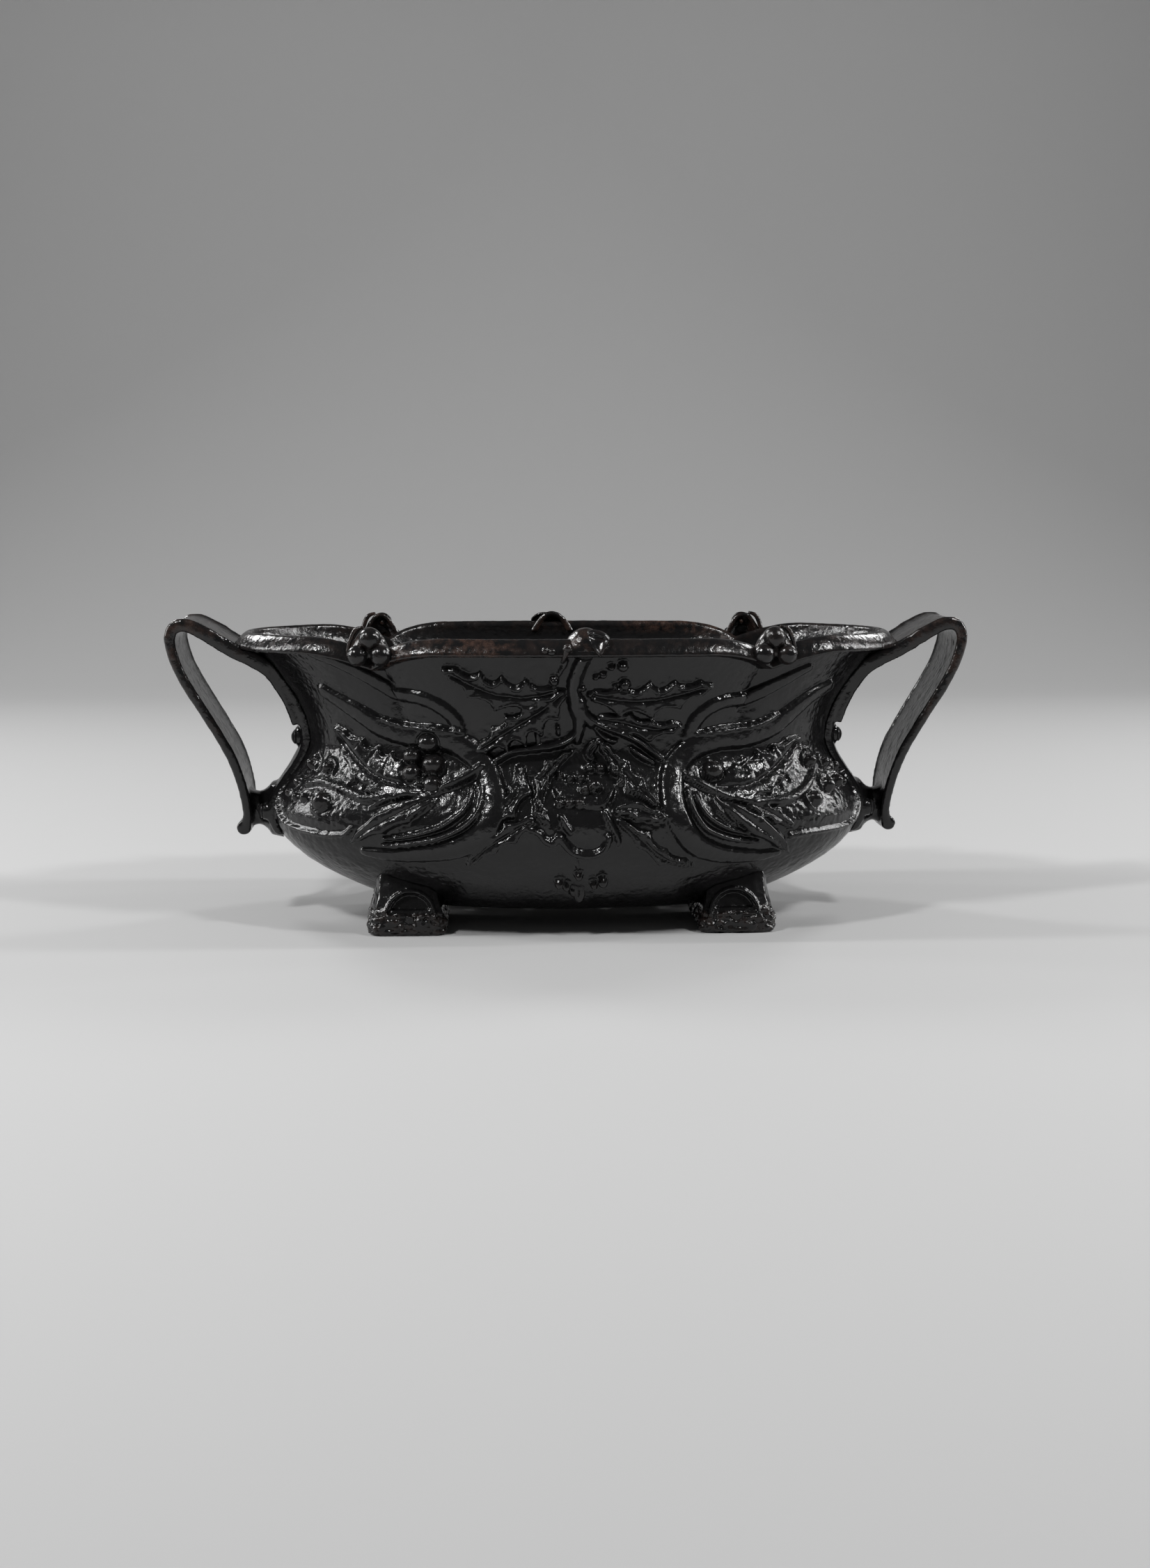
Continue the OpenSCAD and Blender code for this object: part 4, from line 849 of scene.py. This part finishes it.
def foot(node):
    """A foot of the frame with its cast surface."""
    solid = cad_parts[node].data.copy()
    solid.name = node + "_raw"
    skin = fused(node + "_skin", solid, FOOT_VOXEL)
    p = points_of(skin)
    outward = np.sign(p[:, 0].mean())
    x, z = outward * p[:, 0] - FOOT_X, p[:, 2]
    strip = smooth((x - STRIP_X) / 3) * smooth((STRIP_Z - z) / 3)
    inside_arch = smooth((ARCH_Z - z) / 2) * smooth((ARCH_HALF - np.abs(x)) / 2)
    band = np.maximum.reduce([smooth((BAND_Z - z) / 1.5), strip, 0.7 * inside_arch]) * smooth(z / 1.5)
    flakes = np.sqrt(pebbles(p, 3.3, 61)) * (0.7 + 0.5 * noise(p, 4.0, 63))
    grow = (2.1 * flakes - 1.1 + 0.35 * noise(p, 1.3, 64)) * band + 0.16 * noise(p, 3.0, 62) * (1 - band)
    worn = 0.22 * band * smooth(1.2 - (x + 20) / 40)
    p = p + normals_of(skin) * (grow * smooth((z - 0.2) / 1.5))[:, None]
    p[:, 2] = np.maximum(p[:, 2], 0)
    set_points(skin, p)
    set_worn(skin, worn)
    return shown(node + "_casting", skin)


# Materials. A colour mix has its two colours and its result at these sockets
MIX_A, MIX_B, MIX_RESULT = 6, 7, 2


def paint(name, colour, gloss, brown, pit_size=1.0):
    """Black paint over rough cast iron: mottled gloss, pits and orange peel, brown where it is worn."""
    material = bpy.data.materials.new(name)
    material.use_nodes = True
    tree = material.node_tree
    nodes, links = tree.nodes, tree.links
    shader = nodes["Principled BSDF"]
    coordinates = nodes.new("ShaderNodeTexCoord")

    def texture(kind, scale, **settings):
        """A noise or cell texture in the piece's own metres."""
        node = nodes.new("ShaderNodeTex" + kind)
        node.inputs["Scale"].default_value = scale
        for key, value in settings.items():
            node.inputs[key].default_value = value
        links.new(coordinates.outputs["Object"], node.inputs["Vector"])
        return node

    def ramp(source, low, high, a, b):
        """The source, mapped from low and high to a and b."""
        node = nodes.new("ShaderNodeMapRange")
        links.new(source, node.inputs["Value"])
        for key, value in zip(("From Min", "From Max", "To Min", "To Max"), (low, high, a, b)):
            node.inputs[key].default_value = value
        return node.outputs["Result"]

    def maths(operation, a, b):
        node = nodes.new("ShaderNodeMath")
        node.operation = operation
        for socket, value in zip(node.inputs, (a, b)):
            if hasattr(value, "is_linked"):
                links.new(value, socket)
            else:
                socket.default_value = value
        return node.outputs[0]

    mottle = texture("Noise", 45, Detail=5, Roughness=0.6)
    spots = texture("Noise", 190, Detail=4, Roughness=0.65)
    peel = texture("Noise", 420, Detail=3, Roughness=0.55)
    grit = texture("Noise", 1300, Detail=2, Roughness=0.5)
    pits = texture("Voronoi", 330 * pit_size)
    pits.feature = "SMOOTH_F1"

    worn = nodes.new("ShaderNodeAttribute")
    worn.attribute_name = "worn"
    bare = maths("MULTIPLY", worn.outputs["Fac"], ramp(spots.outputs["Fac"], 0.42, 0.68, 0.0, 1.0))
    bare = maths("MULTIPLY", bare, ramp(mottle.outputs["Fac"], 0.35, 0.62, 0.25, 1.0))
    tint = nodes.new("ShaderNodeMix")
    tint.data_type = "RGBA"
    links.new(bare, tint.inputs["Factor"])
    tint.inputs[MIX_A].default_value = (*colour, 1)
    tint.inputs[MIX_B].default_value = (*brown, 1)
    shade = nodes.new("ShaderNodeMix")
    shade.data_type = "RGBA"
    shade.blend_type = "MULTIPLY"
    links.new(ramp(mottle.outputs["Fac"], 0.3, 0.7, 0.0, 0.45), shade.inputs["Factor"])
    links.new(tint.outputs[MIX_RESULT], shade.inputs[MIX_A])
    shade.inputs[MIX_B].default_value = (0.55, 0.55, 0.58, 1)
    links.new(shade.outputs[MIX_RESULT], shader.inputs["Base Color"])

    rough = ramp(spots.outputs["Fac"], 0.3, 0.7, gloss - 0.05, gloss + 0.11)
    links.new(maths("ADD", rough, maths("MULTIPLY", bare, 0.22)), shader.inputs["Roughness"])

    orange_peel = maths("MULTIPLY", peel.outputs["Fac"], 0.55)
    relief = maths("ADD", orange_peel, maths("MULTIPLY", grit.outputs["Fac"], 0.18))
    relief = maths("ADD", relief, maths("MULTIPLY", ramp(pits.outputs["Distance"], 0.05, 0.5, 0.0, 1.0), 0.3))
    bump = nodes.new("ShaderNodeBump")
    bump.inputs["Strength"].default_value = 0.7
    bump.inputs["Distance"].default_value = 0.0006
    links.new(relief, bump.inputs["Height"])
    links.new(bump.outputs["Normal"], shader.inputs["Normal"])
    return material


def plain_stage(name, colour, rough):
    """A plain matt colour for the floor."""
    material = bpy.data.materials.new(name)
    material.use_nodes = True
    shader = material.node_tree.nodes["Principled BSDF"]
    shader.inputs["Base Color"].default_value = (*colour, 1)
    shader.inputs["Roughness"].default_value = rough
    shader.inputs["Specular IOR Level"].default_value = 0.1
    return material


black_iron = paint("black_iron", (0.0085, 0.0083, 0.0086), 0.15, (0.12, 0.06, 0.04))
floor_iron = paint("floor_iron", (0.028, 0.025, 0.023), 0.5, (0.08, 0.05, 0.035), 0.7)
fastener_paint = paint("fastener_paint", (0.019, 0.0185, 0.019), 0.3, (0.08, 0.05, 0.035), 1.6)

# Pieces, each with the node that it replaces
pieces = dict(zip(("front_shell", "rear_shell"), castings()))
pieces.update(zip(("left_handle", "right_handle"), handles()))
for foot_node in ("foot_front_left", "foot_front_right", "foot_rear_left", "foot_rear_right"):
    pieces[foot_node] = foot(foot_node)
for node, piece in pieces.items():
    piece.data.materials.clear()
    piece.data.materials.append(black_iron)
    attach(piece, "root")
    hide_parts(node)

# The floor plate and the fasteners keep their solids, and get a finish of their own
finishes = {"base_plate": floor_iron, "handle_screws": fastener_paint, "handle_nuts": fastener_paint,
            "foot_bolts": fastener_paint, "foot_nuts": fastener_paint}
for node, material in finishes.items():
    for material_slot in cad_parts[node].material_slots:
        material_slot.material = material

# Stage, in metres: a pale floor that turns up into a backdrop behind the object
FLOOR_FRONT, FLOOR_BACK, BEND, WALL_TOP, FLOOR_HALF = -3.0, 1.2, 0.9, 3.5, 4.0
bend = [(FLOOR_BACK + BEND * np.sin(a), BEND - BEND * np.cos(a)) for a in np.linspace(0, np.pi / 2, 17)[1:]]
curve = [(FLOOR_FRONT, 0.0), (FLOOR_BACK, 0.0), *bend, (FLOOR_BACK + BEND, WALL_TOP)]
stage_mesh = bpy.data.meshes.new("floor")
stage_mesh.from_pydata([(x, y, z) for y, z in curve for x in (-FLOOR_HALF, FLOOR_HALF)], [],
                       [(2 * i, 2 * i + 1, 2 * i + 3, 2 * i + 2) for i in range(len(curve) - 1)])
floor = shown("floor", stage_mesh)
floor.data.materials.append(plain_stage("pale_floor", (0.5, 0.5, 0.5), 0.7))
floor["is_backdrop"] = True

# Light: soft boxes on the left and the right, small ones above them, two behind, and a dim room
def soft_box(name, spot, aim, size, watts):
    """A rectangular lamp at a spot, turned towards its aim, in metres and watts."""
    light = bpy.data.lights.new(name, "AREA")
    light.shape, light.size, light.size_y, light.energy = "RECTANGLE", size[0], size[1], watts
    lamp = bpy.data.objects.new(name, light)
    lamp.location = spot
    lamp.visible_camera = False
    lamp.rotation_euler = (Vector(aim) - Vector(spot)).to_track_quat("-Z", "Y").to_euler()
    bpy.context.scene.collection.objects.link(lamp)


soft_box("left_box", (-1.65, -0.08, 0.9), (-0.05, 0, 0.1), (0.085, 1.0), 14.5)
soft_box("low_left_box", (-1.6, 0.3, 0.5), (-0.05, 0, 0.1), (0.055, 0.6), 4.3)
soft_box("right_box", (1.7, -0.02, 0.9), (0.05, 0, 0.1), (0.085, 1.0), 13.2)
soft_box("low_right_box", (1.65, 0.35, 0.5), (0.05, 0, 0.1), (0.055, 0.6), 3.8)
soft_box("high_left_box", (-0.7, -0.6, 1.05), (0, 0, 0.1), (0.13, 0.13), 7)
soft_box("high_right_box", (0.75, -0.55, 1.05), (0, 0, 0.1), (0.13, 0.13), 6)
soft_box("back_left_box", (-0.95, 0.9, 1.0), (0, 0, 0.1), (0.25, 0.4), 7)
soft_box("back_right_box", (1.0, 0.85, 1.0), (0, 0, 0.1), (0.25, 0.4), 6)

world = bpy.data.worlds.new("room")
world.use_nodes = True
world.node_tree.nodes["Background"].inputs["Color"].default_value = (1, 1, 1, 1)
world.node_tree.nodes["Background"].inputs["Strength"].default_value = 0.07
bpy.context.scene.world = world

# Camera at the photograph's place: metres, degrees, and the photograph's focal length and width in pixels
CAMERA_AT, CAMERA_TURN = (-0.0474, -1.0910, 0.2220), (82.0, 0.0, -2.7)
SENSOR, FOCAL_PIXELS, PHOTO_WIDTH = 36.0, 2940, 1652
camera_data = bpy.data.cameras.new("camera")
camera_data.sensor_fit, camera_data.sensor_width = "HORIZONTAL", SENSOR
camera_data.lens = SENSOR * FOCAL_PIXELS / PHOTO_WIDTH
camera_data.clip_end = 20
camera = bpy.data.objects.new("camera", camera_data)
camera.location = CAMERA_AT
camera.rotation_euler = np.radians(CAMERA_TURN)
bpy.context.scene.collection.objects.link(camera)
bpy.context.scene.camera = camera
bpy.context.scene.view_settings.view_transform = "Standard"

bpy.context.view_layer.update()
